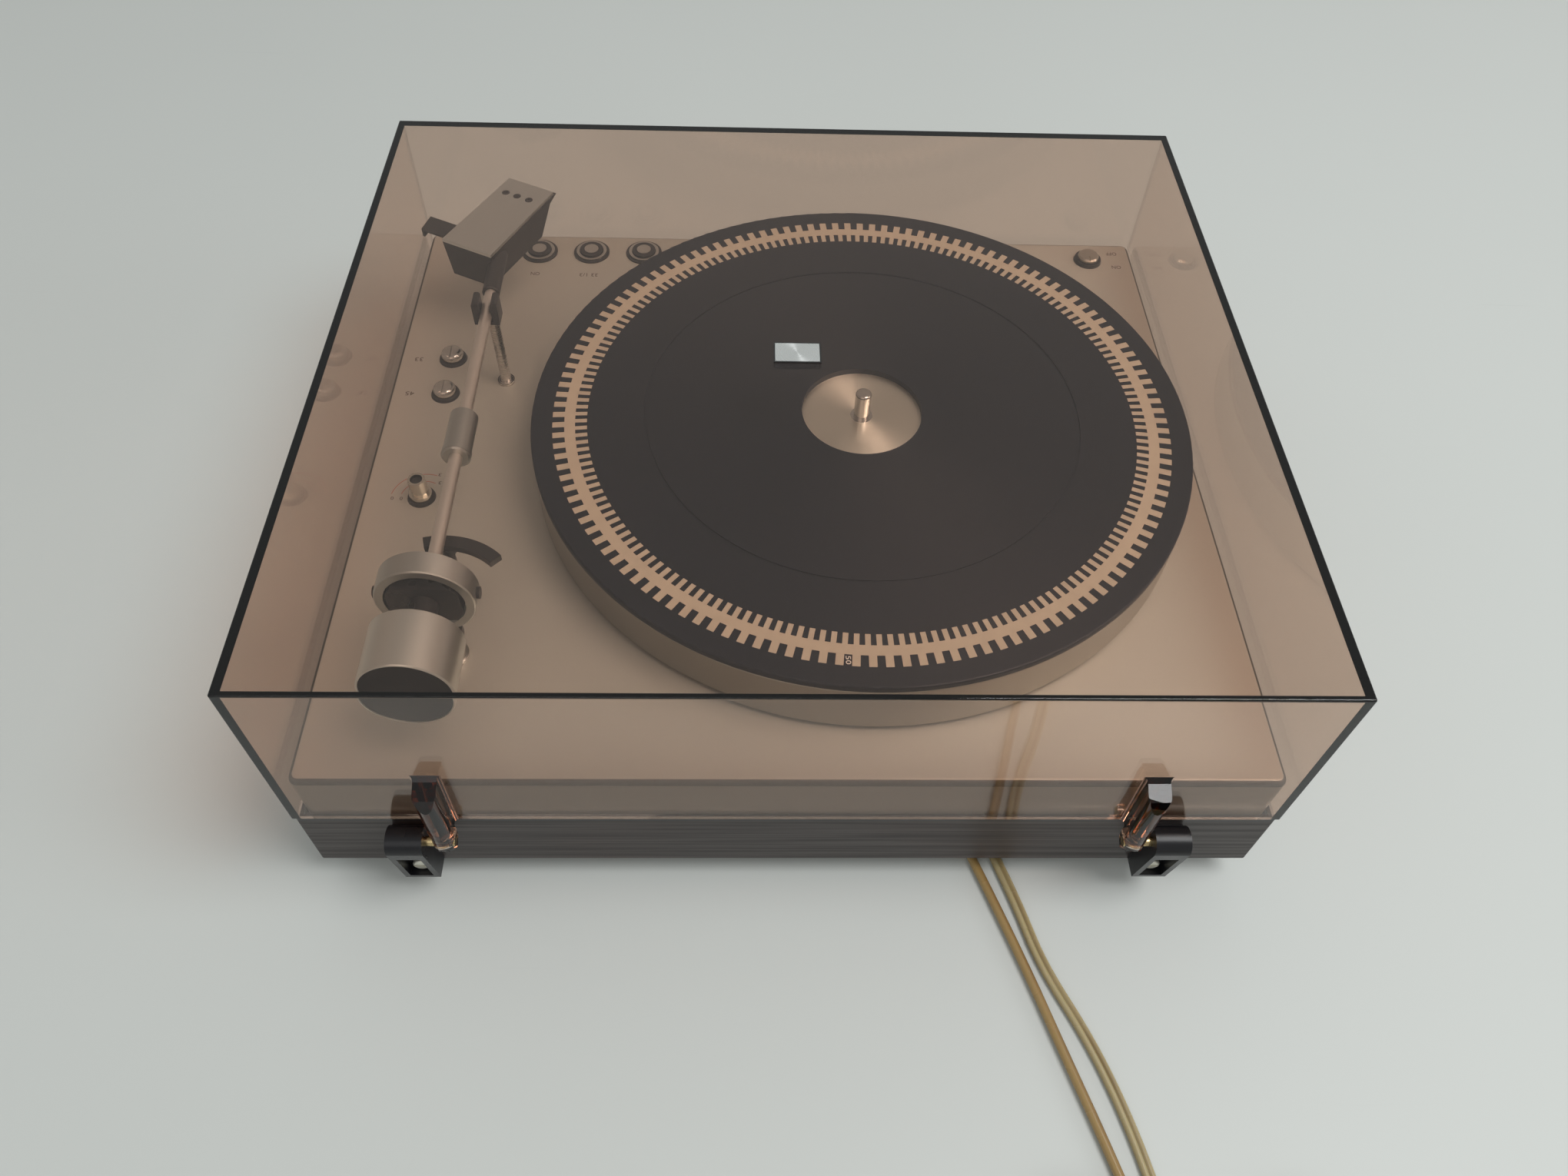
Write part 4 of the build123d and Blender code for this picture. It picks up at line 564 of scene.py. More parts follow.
@dataclass(frozen=True)
class Acrylic(Finish):
    """Clear tinted acrylic, which darkens with the way that light takes through it."""

    density: float = 140.0
    lamp_tint: Colour = (0.92, 0.857, 0.812)
    scratch: float = 0.05
    hairs: tuple[tuple[float, float], ...] = ((12.0, 1300.0), (67.0, 1500.0), (128.0, 1200.0))
    hair_length: float = 14.0
    worn_scale: float = 7.0
    bending: float = 1.49

    def wire(self, board: Wiring) -> None:
        """Wire the glass, its inner tint, hairline scratches and a way through for the lamps."""
        worn = board.spread(board.noise(board.place, self.worn_scale), (0.45, 0.7))
        lines = 0.0
        for angle, fine in self.hairs:
            place = board.stretched((self.hair_length, fine, self.hair_length), (0, 0, angle))
            lines = board.math("MAXIMUM", lines, board.spread(board.noise(place, 1.0, 1.0), (0.70, 0.78)))
        scratches = board.math("MULTIPLY", lines, worn)
        board.set(
            Base_Color=(1.0, 1.0, 1.0),
            Roughness=board.spread(scratches, FULL, (0.0, self.scratch)),
            IOR=self.bending,
            Transmission_Weight=1.0,
        )
        clear = board.nodes.new("ShaderNodeBsdfTransparent")
        board.fill(clear, Color=self.lamp_tint)
        rays = board.nodes.new("ShaderNodeLightPath")
        choice = board.nodes.new("ShaderNodeMixShader")
        board.fill(choice, rays.outputs["Is Shadow Ray"], board.shader.outputs[0], clear.outputs[0])
        tint = board.nodes.new("ShaderNodeVolumeAbsorption")
        board.fill(tint, Color=self.colour, Density=self.density)
        board.fill(board.output, Surface=choice.outputs[0], Volume=tint.outputs[0])


@dataclass(frozen=True)
class Jacket(Finish):
    """Translucent amber insulation with its copper showing through as darker lines."""

    core: Colour
    cores: int
    drift_scale: float = 35.0
    glow: float = 0.35
    glow_depth: float = 0.002
    dents: float = 400.0
    depth: float = 0.00008

    def wire(self, board: Wiring) -> None:
        """Wire the clear skin, and the cores as lines along the lead's own map."""
        tape = board.nodes.new("ShaderNodeUVMap")
        around = board.math("MULTIPLY", board.part(tape.outputs[0], 1), 2 * math.pi * self.cores)
        wave = board.math("COSINE", around)
        stripe = board.spread(wave, (0.2, 1.0))
        drift = board.noise(board.place, self.drift_scale, 3.0)
        share = board.math("MULTIPLY", stripe, board.spread(drift, MOST, (0.45, 1.0)))
        board.set(
            Base_Color=board.colours(share, self.colour, self.core),
            Roughness=board.spread(drift, MOST, (0.22, 0.34)),
            Subsurface_Weight=self.glow,
            Subsurface_Radius=(1.0, 0.6, 0.2),
            Subsurface_Scale=self.glow_depth,
            Specular_IOR_Level=0.6,
        )
        board.bump(board.noise(board.place, self.dents), self.depth, 0.3)


@dataclass(frozen=True)
class Ink(Finish):
    """Printing ink, slightly worn."""

    roughness: float = 0.5
    wear_scale: float = 300.0

    def wire(self, board: Wiring) -> None:
        """Wire the ink's faint unevenness."""
        wear = board.noise(board.place, self.wear_scale, 3.0)
        board.set(
            Base_Color=board.colours(wear, self.shade(0.88), self.shade(1.06)),
            Roughness=board.spread(wear, MOST, (self.roughness - 0.06, self.roughness + 0.08)),
        )


@dataclass(frozen=True)
class TableTop(Finish):
    """The pale table that the part stands on."""

    roughness: float = 0.42
    mottle: float = 2.2
    marks: Point = (6.0, 420.0, 1.0)

    def wire(self, board: Wiring) -> None:
        """Wire a soft mottle and a few fine marks."""
        mottle = board.noise(board.place, self.mottle, 3.0)
        marks = board.noise(board.stretched(self.marks, (0, 0, 24)), 1.0)
        hair = board.spread(marks, (0.73, 0.8), (0.0, 0.25))
        board.set(
            Base_Color=board.colours(hair, self.vary(board, mottle, 0.03), self.shade(0.8)),
            Roughness=self.roughness,
            Specular_IOR_Level=0.3,
        )


def dress(finish: Finish, *nodes: str) -> None:
    """Give CAD nodes a finish, on their objects' material slots.

    Args:
        finish: The finish.
        nodes: The nodes that take it.
    """
    material = finish.material()
    for node in nodes:
        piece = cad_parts[node]
        for slot in piece.material_slots:
            slot.material = material
        log.info("dressed %s in %s", node, finish.name)


# Modelling tools


class Bench:
    """Blender's own modelling tools, with the choice of faces made in code."""

    smooth_under = 35.0

    @staticmethod
    def begin(*pieces: Piece) -> None:
        """Select these pieces and no others, because a tool acts on all that is selected.

        Args:
            pieces: The pieces to work on, if any, of which the first becomes the active one.
        """
        bpy.ops.object.select_all(action="DESELECT")
        for piece in pieces:
            piece.select_set(True)
        if pieces:
            bpy.context.view_layer.objects.active = pieces[0]

    @staticmethod
    def edit() -> None:
        """Go into edit mode with the whole piece selected."""
        bpy.ops.object.mode_set(mode="EDIT")
        bpy.ops.mesh.select_all(action="SELECT")

    @staticmethod
    def pull(height: float) -> None:
        """Extrude what is selected along Z."""
        bpy.ops.mesh.extrude_region_move(TRANSFORM_OT_translate={"value": (0, 0, height)})

    @staticmethod
    def leave() -> None:
        """Turn every face outwards and leave edit mode."""
        bpy.ops.mesh.select_all(action="SELECT")
        bpy.ops.mesh.normals_make_consistent(inside=False)
        bpy.ops.object.mode_set(mode="OBJECT")

    @staticmethod
    def pick_faces(test: Callable[[Vector, Vector], bool]) -> None:
        """Select the faces of the piece in edit mode that pass a test, and no others.

        Args:
            test: Takes a face's middle and its normal.
        """
        bpy.ops.mesh.select_mode(type="FACE")
        bpy.ops.mesh.select_all(action="DESELECT")
        mesh = bpy.context.object.data
        shape = bmesh.from_edit_mesh(mesh)
        for face in shape.faces:
            if test(face.calc_center_median(), face.normal):
                face.select_set(True)
        bmesh.update_edit_mesh(mesh)

    @staticmethod
    def keep(name: str, body: str, slot: str, finish: Finish) -> None:
        """Close the active piece: name it, settle its place in its mesh, finish it and let it ride.

        Args:
            name: The piece's name.
            body: The CAD body that it moves with.
            slot: Not used.
            finish: Its finish.
        """
        piece = bpy.context.object
        piece.name = name
        piece.data.name = name
        bpy.ops.object.transform_apply(location=True, rotation=True, scale=True)
        bpy.ops.object.shade_smooth_by_angle(angle=math.radians(Bench.smooth_under))
        piece.data.materials.clear()
        piece.data.materials.append(finish.material())
        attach(piece, body)
        log.info("made %s, %d faces", name, len(piece.data.polygons))

    @staticmethod
    def join(pieces: list[Piece]) -> None:
        """Join meshes into the first of them, which is then the active piece."""
        Bench.begin(*pieces)
        bpy.ops.object.join()


class Press:
    """Prints marks in thin ink on flat faces that look up."""

    thickness = 0.00006

    @staticmethod
    def dashes(
        centre: Point, radii: tuple[float, float], wide: float, step: float, count: int, first: float
    ) -> Piece:
        """Print dashes round a centre, by shaping one and spinning copies of it.

        Args:
            centre: The middle of the round, on the printed face.
            radii: Where each dash starts and ends, out from the middle.
            wide: The angle that one dash covers, in degrees.
            step: The angle from one dash to the next, in degrees.
            count: How many dashes there are.
            first: The angle of the first dash, in degrees.

        Returns:
            The dashes as one mesh.
        """
        middle = sum(radii) / 2
        length = 2 * middle * math.tan(math.radians(wide) / 2)
        Bench.begin()
        bpy.ops.mesh.primitive_plane_add(size=1.0, location=centre)
        Bench.edit()
        bpy.ops.transform.resize(value=(radii[1] - radii[0], length, 1.0))
        bpy.ops.transform.translate(value=(middle, 0.0, 0.0))
        Bench.pull(Press.thickness)
        bpy.ops.mesh.select_all(action="SELECT")
        bpy.ops.mesh.spin(
            steps=count - 1,
            angle=-math.radians(step * (count - 1)),
            dupli=True,
            center=centre,
            axis=Axis.UP.value,
        )
        Bench.leave()
        row = bpy.context.object
        row.rotation_euler.z = math.radians(first)
        bpy.ops.object.transform_apply(location=True, rotation=True, scale=True)
        return row

    @staticmethod
    def word(letters: str, middle: Point, size: tuple[float, float], turn: float = 0.0) -> Piece:
        """Print a short word or number.

        Args:
            letters: What it says.
            middle: Its middle, on the printed face.
            size: Its width and its height.
            turn: How far it is turned, in degrees.

        Returns:
            The word as one mesh.
        """
        Bench.begin()
        bpy.ops.object.text_add(location=(0, 0, 0))
        text = bpy.context.object
        text.data.body = letters
        text.data.align_x = "CENTER"
        text.data.align_y = "CENTER"
        text.data.resolution_u = 3
        text.data.extrude = 0.5
        bpy.ops.object.convert(target="MESH")
        bpy.context.view_layer.update()
        word = bpy.context.object
        width, height, depth = word.dimensions
        word.scale = (size[0] / width, size[1] / height, Press.thickness / depth)
        word.rotation_euler.z = math.radians(turn)
        word.location = Vector(middle) + Vector(Axis.UP.value) * Press.thickness / 2
        bpy.ops.object.transform_apply(location=True, rotation=True, scale=True)
        return word


# The leads


@dataclass
class Lead:
    """A lead from its sleeve to its plug: the stretch in view and the neat coil, on one curve."""

    name: str
    route: list[Point]
    width: float
    height: float
    outer_radius: float
    sense: int
    end_heading: float
    end_z: float
    flare: float
    length: float
    cord_nodes: tuple[str, str]
    plug: str
    far_end: str
    finish: Finish
    whole_turns: int = 6
    wire_gap: float = 0.0006
    points_a_turn: int = 24

    @staticmethod
    def eased(share: float) -> float:
        """A share from 0 to 1 that starts and ends gently."""
        held = min(max(share, 0.0), 1.0)
        return held * held * (3 - 2 * held)

    def coil_points(self) -> list[Point]:
        """The coil's turns: in along the table, up a layer where it reverses, and out on top.

        Returns:
            The points of the turns and of the straight end after them.
        """
        (x0, y0, _), (x1, y1, low_z) = self.route[-2:]
        heading = math.degrees(math.atan2(y1 - y0, x1 - x0))
        way = spoke(math.radians(heading))
        layer = self.height + self.wire_gap
        inward = (self.width + self.wire_gap) / (2 * math.pi)
        lean = math.degrees(math.atan(inward / self.outer_radius))
        start_angle = heading - self.sense * (90 + lean)
        end_angle = self.end_heading - self.sense * (90 - lean)
        part_turn = (self.sense * (end_angle - start_angle)) % 360
        total = math.radians(part_turn + 360 * self.whole_turns)
        begin = math.radians(start_angle)
        centre = Vector((x1, y1, low_z)) + way * self.width - spoke(begin) * self.outer_radius
        count = round(total / (2 * math.pi) * self.points_a_turn)
        points = []
        for step in range(count + 1):
            turned = total * step / count
            radius = self.outer_radius - inward * min(turned, total - turned)
            radius += self.flare * self.eased((turned - total) / math.pi + 1)
            rise = layer * self.eased((turned - total / 2) / math.pi + 0.5)
            last_rise = self.end_z - low_z - layer
            rise += last_rise * self.eased((turned - total) / (math.pi / 2) + 1)
            angle = begin + self.sense * turned
            points.append(centre + spoke(angle) * radius + Vector((0, 0, rise)))
        end = points[-1] + spoke(math.radians(self.end_heading)) * self.width
        return [tuple(point) for point in [*points, end]]

    def curve(self) -> Piece:
        """The lead's line as one NURBS curve, whose control points are the route and the turns."""
        data = bpy.data.curves.new(self.name, "CURVE")
        data.dimensions = "3D"
        data.resolution_u = 8
        data.twist_mode = "Z_UP"
        points = [*self.route, *self.coil_points()]
        spline = data.splines.new("NURBS")
        spline.points.add(len(points) - 1)
        for spot, point in zip(spline.points, points):
            spot.co = (*point, 1.0)
        spline.order_u = 3
        spline.use_endpoint_u = True
        return placed(self.name, data)

    def close(self, line: Piece, path: list[Point] | None) -> None:
        """Dress the lead, let it ride and say what it is.

        Args:
            line: The lead's curve or mesh.
            path: Not used.
        """
        line.data.materials.clear()
        line.data.materials.append(self.finish.material())
        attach(line, "root")
        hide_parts(*self.cord_nodes)
        log.info("laid %s, %.2f m", self.name, self.length)


@dataclass
class RoundLead(Lead):
    """A round lead, which stays a curve."""

    def build(self) -> None:
        """Lay the curve with a round section."""
        line = self.curve()
        line.data.bevel_depth = self.width / 2
        line.data.bevel_resolution = 4
        line.data.use_fill_caps = True
        self.close(line, None)


@dataclass
class TwinLead(Lead):
    """A flat lead of two cores side by side, with a groove between them."""

    waist: float = 0.0019
    arc_points: int = 7
    arc_half: float = 115.0
    smooth_under: float = 60.0

    def section(self) -> Piece:
        """The lead's section: two round lobes with a waist between them.

        Returns:
            A closed flat curve.
        """
        lobe = self.height / 2
        reach = self.width / 2 - lobe
        data = bpy.data.curves.new("twin_section", "CURVE")
        spline = data.splines.new("POLY")
        points = []
        for side in (1, -1):
            for step in range(self.arc_points + 1):
                angle = math.radians(self.arc_half * (2 * step / self.arc_points - 1))
                points.append((side * (reach + lobe * math.cos(angle)), side * lobe * math.sin(angle)))
            points.append((0.0, side * self.waist / 2))
        spline.points.add(len(points) - 1)
        for spot, (x, y) in zip(spline.points, points):
            spot.co = (x, y, 0.0, 1.0)
        spline.use_cyclic_u = True
        return placed("twin_section", data)

    def build(self) -> None:
        """Sweep the section along the curve, and read off the line that it follows."""
        line = self.curve()
        bare = bpy.data.meshes.new_from_object(line)
        path = [tuple(vertex.co) for vertex in bare.vertices]
        bpy.data.meshes.remove(bare)
        shape = self.section()
        line.data.bevel_mode = "OBJECT"
        line.data.bevel_object = shape
        line.data.use_fill_caps = True
        Bench.begin(line)
        bpy.ops.object.convert(target="MESH")
        section_data = shape.data
        bpy.data.objects.remove(shape)
        bpy.data.curves.remove(section_data)
        Bench.edit()
        Bench.leave()
        bpy.ops.object.shade_smooth_by_angle(angle=math.radians(self.smooth_under))
        self.close(line, path)


# Where it stands and how it is lit


@dataclass
class Studio:
    """The camera, the pale table and the soft lamps."""

    eye: Point = (0.01836, 0.36700, 0.47320)
    turns: Point = (37.11, -1.69, 179.24)
    lens: float = 26.72
    sensor: float = 36.0
    table_size: float = 8.0
    table: Finish = TableTop("table_top", (0.585, 0.61, 0.59))
    sky: Colour = (0.93, 0.95, 0.93)
    sky_strength: float = 0.45
    behind: Colour = (0.52, 0.54, 0.525)
    behind_strength: float = 1.0
    lamps: dict[Light, tuple[Point, Point, float, float]] = field(
        default_factory=lambda: {
            Light.KEY: ((-1.05, 0.45, 2.2), (0.0, -0.1, 0.08), 1.3, 31.0),
            Light.FILL: ((0.5, 1.9, 1.8), (0.0, 0.1, 0.08), 1.8, 6.0),
            Light.SIDE: ((-2.2, 0.4, 0.9), (0.0, 0.0, 0.1), 1.0, 10.0),
        }
    )

    def place_camera(self) -> None:
        """Put the camera where the photograph was taken, a little behind the part and above it."""
        data = bpy.data.cameras.new("camera")
        data.lens = self.lens
        data.sensor_width = self.sensor
        data.sensor_fit = "HORIZONTAL"
        camera = placed("camera", data)
        camera.location = self.eye
        camera.rotation_euler = Euler([math.radians(turn) for turn in self.turns])
        bpy.context.scene.camera = camera

    def lay_table(self) -> None:
        """Lay the pale table top, a flat sheet at the feet."""
        Bench.begin()
        bpy.ops.mesh.primitive_plane_add(size=self.table_size, location=(0, 0, 0))
        bpy.ops.object.mode_set(mode="EDIT")
        bpy.ops.mesh.subdivide(number_cuts=3)
        bpy.ops.object.mode_set(mode="OBJECT")
        table = bpy.context.object
        table.name = "table_top"
        table.data.materials.append(self.table.material())

    def hang_lamps(self) -> None:
        """Hang the lamps, each turned to its target."""
        for lamp, (place, target, size, power) in self.lamps.items():
            data = bpy.data.lights.new(lamp.value, "AREA")
            data.shape = "DISK"
            data.size = size
            data.energy = power
            body = placed(lamp.value, data)
            body.location = place
            aim = Vector(target) - Vector(place)
            body.rotation_euler = aim.to_track_quat("-Z", "Y").to_euler()

    def wire_world(self) -> None:
        """Wire the sky that lights the part, and the plain grey that the camera sees behind it."""
        world = bpy.data.worlds.new("studio")
        world.use_nodes = True
        tree = world.node_tree
        tree.nodes.clear()
        output = tree.nodes.new("ShaderNodeOutputWorld")
        choice = tree.nodes.new("ShaderNodeMixShader")
        rays = tree.nodes.new("ShaderNodeLightPath")
        tree.links.new(rays.outputs["Is Camera Ray"], choice.inputs[0])
        looks = ((self.sky, self.sky_strength), (self.behind, self.behind_strength))
        for number, (colour, strength) in enumerate(looks, start=1):
            plain = tree.nodes.new("ShaderNodeBackground")
            plain.inputs["Color"].default_value = (*colour, 1.0)
            plain.inputs["Strength"].default_value = strength
            tree.links.new(plain.outputs[0], choice.inputs[number])
        tree.links.new(choice.outputs[0], output.inputs["Surface"])
        bpy.context.scene.world = world
        bpy.context.scene.view_settings.view_transform = "Standard"

    def build(self) -> None:
        """Set up the whole studio."""
        self.place_camera()
        self.lay_table()
        self.hang_lamps()
        self.wire_world()
        log.info("studio ready")


# The part's own sub-assemblies


@dataclass
class Leads:
    """The two leads with their sleeves and plugs."""

    signal: RoundLead = field(
        default_factory=lambda: RoundLead(
            name="signal_lead",
            route=[
                (-0.0624, 0.1080, 0.0080),
                (-0.0680, 0.1234, 0.0080),
                (-0.0774, 0.1504, 0.0021),
                (-0.0869, 0.1762, 0.0021),
                (-0.0977, 0.2078, 0.0021),
                (-0.1066, 0.2367, 0.0021),
                (-0.1174, 0.2705, 0.0021),
                (-0.1272, 0.3043, 0.0021),
            ],
            width=0.0040,
            height=0.0040,
            outer_radius=0.0301,
            sense=-1,
            end_heading=0.0,
            end_z=0.0067,
            flare=0.0086,
            length=1.134,
            cord_nodes=("signal_cord", "signal_coil"),
            plug="signal_plug",
            far_end="connector",
            finish=Jacket("amber_signal_jacket", (0.37, 0.25, 0.1), core=(0.17, 0.09, 0.03), cores=1),
        )
    )
    mains: TwinLead = field(
        default_factory=lambda: TwinLead(
            name="mains_lead",
            route=[
                (-0.0746, 0.1080, 0.0080),
                (-0.0798, 0.1236, 0.0080),
                (-0.0882, 0.1510, 0.0015),
                (-0.0972, 0.1780, 0.0015),
                (-0.1038, 0.2040, 0.0015),
                (-0.1186, 0.2340, 0.0015),
                (-0.1286, 0.2645, 0.0015),
                (-0.1356, 0.2995, 0.0015),
                (-0.1483, 0.3328, 0.0015),
            ],
            width=0.0050,
            height=0.0028,
            outer_radius=0.0371,
            sense=1,
            end_heading=180.0,
            end_z=0.0081,
            flare=0.0145,
            length=1.380,
            cord_nodes=("mains_cord", "mains_coil"),
            plug="mains_plug",
            far_end="plug",
            finish=Jacket("pale_mains_jacket", (0.4, 0.33, 0.18), core=(0.22, 0.15, 0.06), cores=2),
        )
    )

    def build(self) -> None:
        """Lay both leads and dress what they come out of and end in."""
        self.signal.build()
        self.mains.build()
        dress(Moulded("gland_rubber", (0.03, 0.03, 0.031), roughness=0.6), "cord_glands")
        dress(Moulded("plug_plastic", (0.035, 0.035, 0.037), roughness=0.4), "signal_plug", "mains_plug")


class Body:
    """The plinth with its trim, feet and base, and the deck."""

    def build(self) -> None:
        """Dress the body's nodes."""
        dress(Veneer("dark_veneer", (0.018, 0.0135, 0.013)), "plinth_frame")
        dress(Moulded("trim_black", BLACK, roughness=0.35), "plinth_trim")
        dress(Moulded("raw_hardboard", (0.3, 0.22, 0.14), roughness=0.75), "base_board")
        dress(Moulded("foot_rubber", (0.025, 0.025, 0.026), roughness=0.65), "rubber_feet")
        # The deck's rolled edge and flank carry painted shade.
        deck = PanWithPaintedShade("deck_anodised_painted_shade", (0.44, 0.455, 0.42), roughness=0.46, streak=0.03, metallic=0.45)
        dress(deck, "deck_pan")


@dataclass
class Drive:
    """What turns the platter, inside the plinth."""

    pulley: Point = (-0.1175, -0.0814, 0.0)

    def build(self) -> None:
        """Dress the hidden works."""
        zinc = Brushed("zinc_plate", (0.5, 0.5, 0.48), roughness=0.45)
        dress(zinc, "chassis_plate", "bearing_housing", "motor_body", "motor_bracket")
        dress(Moulded("grommet_rubber", (0.025, 0.025, 0.026), roughness=0.65), "chassis_grommets")
        dress(Moulded("belt_rubber", (0.03, 0.03, 0.03), roughness=0.55), "drive_belt")
        dress(Turned("pulley_brass", (0.62, 0.47, 0.22), centre=self.pulley), "motor_pulley")
        dress(Moulded("winding_tape", (0.5, 0.36, 0.14), roughness=0.6), "transformer")
        dress(Moulded("board_lacquer", (0.07, 0.16, 0.08), roughness=0.4), "circuit_board")
        dress(Moulded("switch_black", (0.03, 0.03, 0.032), roughness=0.5), "switch_bank")


@dataclass
class Platter:
    """The platter with its mat, record pin and printed strobe ring."""

    centre: tuple[float, float] = (-0.0325, -0.011375)
    top: float = 0.1044
    inner_start: float = 0.1224
    band_start: float = 0.1276
    band_end: float = 0.1323
    outer_end: float = 0.1375
    inner_bars: int = 180
    outer_bars: int = 133
    number_angle: float = 84.7
    number_size: tuple[float, float] = (0.0038, 0.0020)
    ring_corners: int = 288
    ink: Finish = Ink("strobe_ink", (0.46, 0.42, 0.34))

    def dress_metal(self) -> None:
        """Dress the platter's own nodes."""
        middle = (*self.centre, 0.0)
        # The platter's side, out at the rim, carries painted shade.
        spun = SpunWithPaintedRimShade("spun_aluminium_painted_rim_shade", (0.88, 0.85, 0.76), centre=middle, stretch=0.85, roughness=0.33)
        dress(spun, "outer_platter", "sub_platter")
        mat = Turned(
            "mat_rubber",
            (0.008, 0.011, 0.0185),
            centre=middle,
            specular=0.35,
            pitch=0.0011,
            depth=0.00005,
            roughness=0.48,
            stretch=0.5,
            metallic=0.0,
        )
        dress(mat, "platter_mat")
        dress(Turned("record_pin_steel", (0.62, 0.6, 0.57), centre=middle, roughness=0.16), "spindle")

    def band(self) -> Piece:
        """Make the plain band between the two rows.

        Returns:
            The band as one mesh.
        """
        x, y = self.centre
        Bench.begin()
        bpy.ops.mesh.primitive_circle_add(
            vertices=self.ring_corners, radius=self.band_end, location=(x, y, self.top)
        )
        Bench.edit()
        share = self.band_start / self.band_end
        bpy.ops.mesh.extrude_edges_move(TRANSFORM_OT_translate={"value": (0, 0, 0)})
        bpy.ops.transform.resize(value=(share, share, 1.0))
        bpy.ops.mesh.select_all(action="SELECT")
        Bench.pull(Press.thickness)
        Bench.leave()
        return bpy.context.object

    def build(self) -> None:
        """Dress the platter and print its strobe ring."""
        self.dress_metal()
        centre = (*self.centre, self.top)
        outer_first = self.number_angle + 180 / self.outer_bars
        rows = []
        for radii, count, first in (
            ((self.inner_start, self.band_start), self.inner_bars, 0.0),
            ((self.band_end, self.outer_end), self.outer_bars, outer_first),
        ):
            step = 360 / count
            rows.append(Press.dashes(centre, radii, step / 2, step, count, first))
        Bench.join([self.band(), *rows])
        Bench.keep("strobe_print", "platter", "knob_metal", self.ink)
        out = spoke(math.radians(self.number_angle)) * (self.band_end + self.outer_end) / 2
        Press.word("50", tuple(Vector(centre) + out), self.number_size, turn=90.0)
        Bench.keep("strobe_number", "platter", "knob_metal", Ink("number_ink", (0.75, 0.72, 0.66)))


@dataclass
class Controls:
    """The buttons, the knobs and what is printed round them."""

    deck_top: float = 0.0778
    words: tuple[tuple[str, float, float, float, float], ...] = (
        ("ON", 0.1316, -0.1381, 0.0046, 0.0026),
        ("33 1/3", 0.1034, -0.1378, 0.0096, 0.0026),
        ("45", 0.0753, -0.1378, 0.0046, 0.0026),
        ("OFF", -0.1801, -0.1627, 0.0058, 0.0026),
        ("ON", -0.1808, -0.1512, 0.0050, 0.0026),
        ("33", 0.1806, -0.0706, 0.0040, 0.0026),
        ("45", 0.1809, -0.0465, 0.0042, 0.0026),
    )
    scale_centre: tuple[float, float] = (0.16372, 0.01963)
    scale_marks: tuple[tuple[str, float, float], ...] = (
        ("0", 0.0130, 3.0),
        ("0", 0.0090, 5.0),
        ("3", 0.0149, -113.0),
        ("3", 0.0110, -127.0),
    )
    mark_size: tuple[float, float] = (0.0013, 0.0018)
    arcs: tuple[tuple[float, float, int], ...] = ((0.0138, -108.0, 34), (0.0095, -118.0, 36))
    arc_half: float = 0.00016
    dash: float = 3.2
    dash_step: float = 3.0
    ring_lip: float = 0.00072
    buttons: tuple[tuple[str, float], ...] = (
        ("start_button", 0.131),
        ("speed_button_33", 0.1033),
        ("speed_button_45", 0.0753),
    )
    buttons_y: float = -0.156375
    button_lip: float = 0.00242
    power_knob: Point = (-0.1658, -0.156675, 0.0)
    power_lip: float = 0.002
    pitch_knobs: tuple[tuple[str, float], ...] = (("pitch_knob_33", -0.071275), ("pitch_knob_45", -0.046575))
    pitch_x: float = 0.1639
    anti_skate: Point = (0.1637, 0.019625, 0.0)

    def print_words(self) -> None:
        """Print what the buttons and knobs do, and the marks at the ends of the two scales."""
        pieces = []
        for letters, x, y, width, height in self.words:
            pieces.append(Press.word(letters, (x, y, self.deck_top), (width, height)))
        for letters, radius, angle in self.scale_marks:
            middle = Vector((*self.scale_centre, self.deck_top)) + spoke(math.radians(angle)) * radius
            pieces.append(Press.word(letters, tuple(middle), self.mark_size))
        Bench.join(pieces)
        Bench.keep("deck_print", "root", "black_plastic", Ink("deck_ink", (0.09, 0.08, 0.075)))

    def print_scales(self) -> None:
        """Print the anti-skate knob's two red scales as thin arcs."""
        centre = (*self.scale_centre, self.deck_top)
        pieces = []
        for radius, first, count in self.arcs:
            radii = (radius - self.arc_half, radius + self.arc_half)
            pieces.append(Press.dashes(centre, radii, self.dash, self.dash_step, count, first))
        Bench.join(pieces)
        Bench.keep("scale_print", "root", "black_plastic", Ink("scale_ink", (0.42, 0.16, 0.13)))

    def build(self) -> None:
        """Dress buttons, rings and knobs, and print the deck."""
        self.print_words()
        self.print_scales()
        two_tone = partial(Split, colour=BLACK)
        dress(two_tone("button_ring", height=self.deck_top + self.ring_lip), "button_rings")
        for node, x in self.buttons:
            centre = (x, self.buttons_y, 0.0)
            dress(two_tone(node + "_finish", height=self.deck_top + self.button_lip, centre=centre), node)
        dress(Moulded("knob_ring_black", BLACK, roughness=0.4), "knob_rings")
        power = Split(
            "power_knob_finish",
            (0.16, 0.16, 0.155),
            upper=(0.6, 0.55, 0.47),
            height=self.deck_top + self.power_lip,
            centre=self.power_knob,
        )
        dress(power, "power_knob")
        chrome = partial(Turned, colour=(0.55, 0.53, 0.5), roughness=0.2)
        for node, y in self.pitch_knobs:
            dress(chrome(node + "_chrome", centre=(self.pitch_x, y, 0.0)), node)
        # The anti-skate knob's socket carries painted shade.
        bright = partial(KnobWithShadedSocket, colour=(0.6, 0.57, 0.5), roughness=0.2, stretch=0.3)
        dress(bright("anti_skate_metal", centre=self.anti_skate), "anti_skate_knob")


